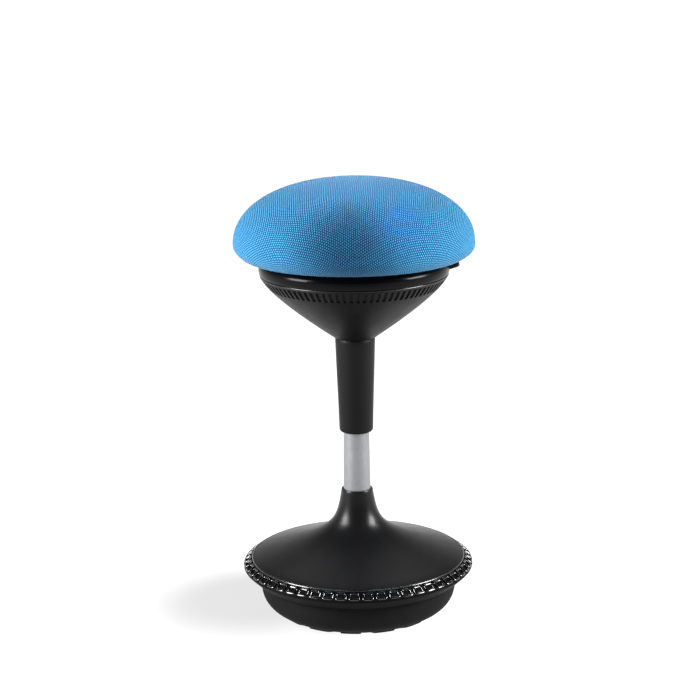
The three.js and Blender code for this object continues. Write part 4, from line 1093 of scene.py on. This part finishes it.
def unroll(pad):
    """A UV map in metres, as cloth laid over the crown: length along it from the middle, by direction."""
    run = cushion_run(0.0, *FINE_STEPS)[::-1]
    arc_length = [0.0]
    for (x0, z0), (x1, z1) in zip(run, run[1:]):
        arc_length.append(arc_length[-1] + math.hypot(x1 - x0, z1 - z0))
    middle_z = WAIST - UNROLL_DROP
    angle = np.array([math.atan2(x, z - middle_z) for x, z in run])
    length = np.array(arc_length) * MM
    mesh = pad.data
    co = read_points(mesh)
    radius = np.hypot(co[:, 0], co[:, 1]) / MM
    tilt = np.arctan2(radius, co[:, 2] / MM - middle_z)
    along = np.interp(tilt, angle, length)
    turn = np.arctan2(co[:, 1], co[:, 0])
    flat = np.stack([along * np.cos(turn), along * np.sin(turn)], axis=1)
    layer = mesh.uv_layers.new(name="weave")
    loops = np.empty(len(mesh.loops), np.int32)
    mesh.loops.foreach_get("vertex_index", loops)
    layer.data.foreach_set("uv", flat[loops].astype(np.float32).ravel())


# Stage, in metres. The backdrop is bright near the horizon and behind the stool, and dim above and in front.
WORLD_BRIGHT, WORLD_DIM = 0.6, 0.06
WORLD_RISE, WORLD_DEPTH = (0.1, 0.6), (-0.3, 0.4)
# name, turn from the front to the right, distance, height, width, height of the light, power
LAMPS = [
    ("right", 79, 2.2, 1.4, 1.0, 1.1, 122),
    ("left", -70, 2.2, 1.3, 1.0, 1.2, 128),
    ("back", 180, 2.2, 1.9, 1.4, 0.8, 12),
]
LAMP_TARGET = (0, 0, 0.3)
FLOOR_HALF = 45
# The floor's glow: least round a place left of the stool, where its soft shadow lies, and dimmer over an oval
# in front of the picture, so that the glossy parts have something dim to mirror
SHADOW_PLACE, SHADOW_REACH = (-0.17, 0.08, 0), (0.06, 0.24)
FRONT_PLACE, FRONT_SIZE, FRONT_REACH = (0, -5.0, 0), (3.0, 4.65, 1), (0.5, 1.0)
GLOW_LEAST, GLOW_FRONT = 0.58, 0.3


def make_floor():
    mesh = bpy.data.meshes.new("floor")
    places = [(x * FLOOR_HALF, y * FLOOR_HALF, 0) for x, y in ((-1, -1), (1, -1), (1, 1), (-1, 1))]
    mesh.from_pydata(places, [], [(0, 1, 2, 3)])
    floor = linked("floor", mesh)
    n = Nodes("floor_white")
    tone = n.mix(n.range(n.noise(scale=3, detail=3)), grey(0.16), grey(0.17))
    oval = n.node("ShaderNodeMapping", vector_type="TEXTURE")
    oval.inputs["Location"].default_value = FRONT_PLACE
    oval.inputs["Scale"].default_value = FRONT_SIZE
    n.link(n.place, oval.inputs["Vector"])
    reach = n.node("ShaderNodeVectorMath", operation="LENGTH")
    n.link(oval.outputs["Vector"], reach.inputs[0])
    front = n.range(reach.outputs["Value"], FRONT_REACH, (GLOW_FRONT, 1.0), smooth=True)
    shadow = n.range(n.distance(SHADOW_PLACE), SHADOW_REACH, (GLOW_LEAST, 1.0), smooth=True)
    n.set(Base_Color=tone, Roughness=0.7, Specular_IOR_Level=0.1, Emission_Color=grey(1))
    n.set(Emission_Strength=n.math("MULTIPLY", shadow, front))
    mesh.materials.append(n.material)


def make_world():
    """A white backdrop that fades above and in front into a dim room."""
    world = bpy.data.worlds.new("studio")
    world.use_nodes = True
    nodes, links = world.node_tree.nodes, world.node_tree.links
    split = nodes.new("ShaderNodeSeparateXYZ")
    links.new(nodes.new("ShaderNodeTexCoord").outputs["Generated"], split.inputs[0])
    product = nodes.new("ShaderNodeMath")
    product.operation = "MULTIPLY"
    fades = (("Z", WORLD_RISE, (1.0, WORLD_DIM)), ("Y", WORLD_DEPTH, (WORLD_DIM, 1.0)))
    for factor, (axis, given, wanted) in zip(product.inputs, fades):
        part = nodes.new("ShaderNodeMapRange")
        part.interpolation_type = "SMOOTHSTEP"
        set_range(part, given, wanted)
        links.new(split.outputs[axis], part.inputs["Value"])
        links.new(part.outputs["Result"], factor)
    scaled = nodes.new("ShaderNodeMath")
    scaled.operation = "MULTIPLY"
    scaled.inputs[1].default_value = WORLD_BRIGHT
    links.new(product.outputs[0], scaled.inputs[0])
    background = nodes["Background"]
    background.inputs[0].default_value = grey(1)
    links.new(scaled.outputs[0], background.inputs[1])
    bpy.context.scene.world = world


def make_lamps():
    for name, turn, distance, height, width, tall, power in LAMPS:
        data = bpy.data.lights.new(name, "AREA")
        data.shape = "RECTANGLE"
        data.size = width
        data.size_y = tall
        data.energy = power
        made = linked(name, data)
        a = math.radians(turn)
        place = Vector((distance * math.sin(a), -distance * math.cos(a), height))
        made.location = place
        made.rotation_euler = (Vector(LAMP_TARGET) - place).to_track_quat("-Z", "Y").to_euler()


def main():
    make_camera()
    m = make_materials()
    slots = {p["node"]: p["material_slot"] for p in frame["record"]["subparts"]}
    for name, made in frame["nodes"].items():
        made.data.materials.clear()
        made.data.materials.append(m[slots[name]])
    make_bowl(m)
    make_tread(m)
    make_cover(m)
    make_rim(m)
    make_column(m)
    make_sleeve(m)
    make_housing(m)
    make_ring(m)
    make_paddle(m)
    make_cushion(m)
    make_floor()
    make_world()
    make_lamps()
    bpy.context.scene.view_settings.view_transform = "Standard"


main()
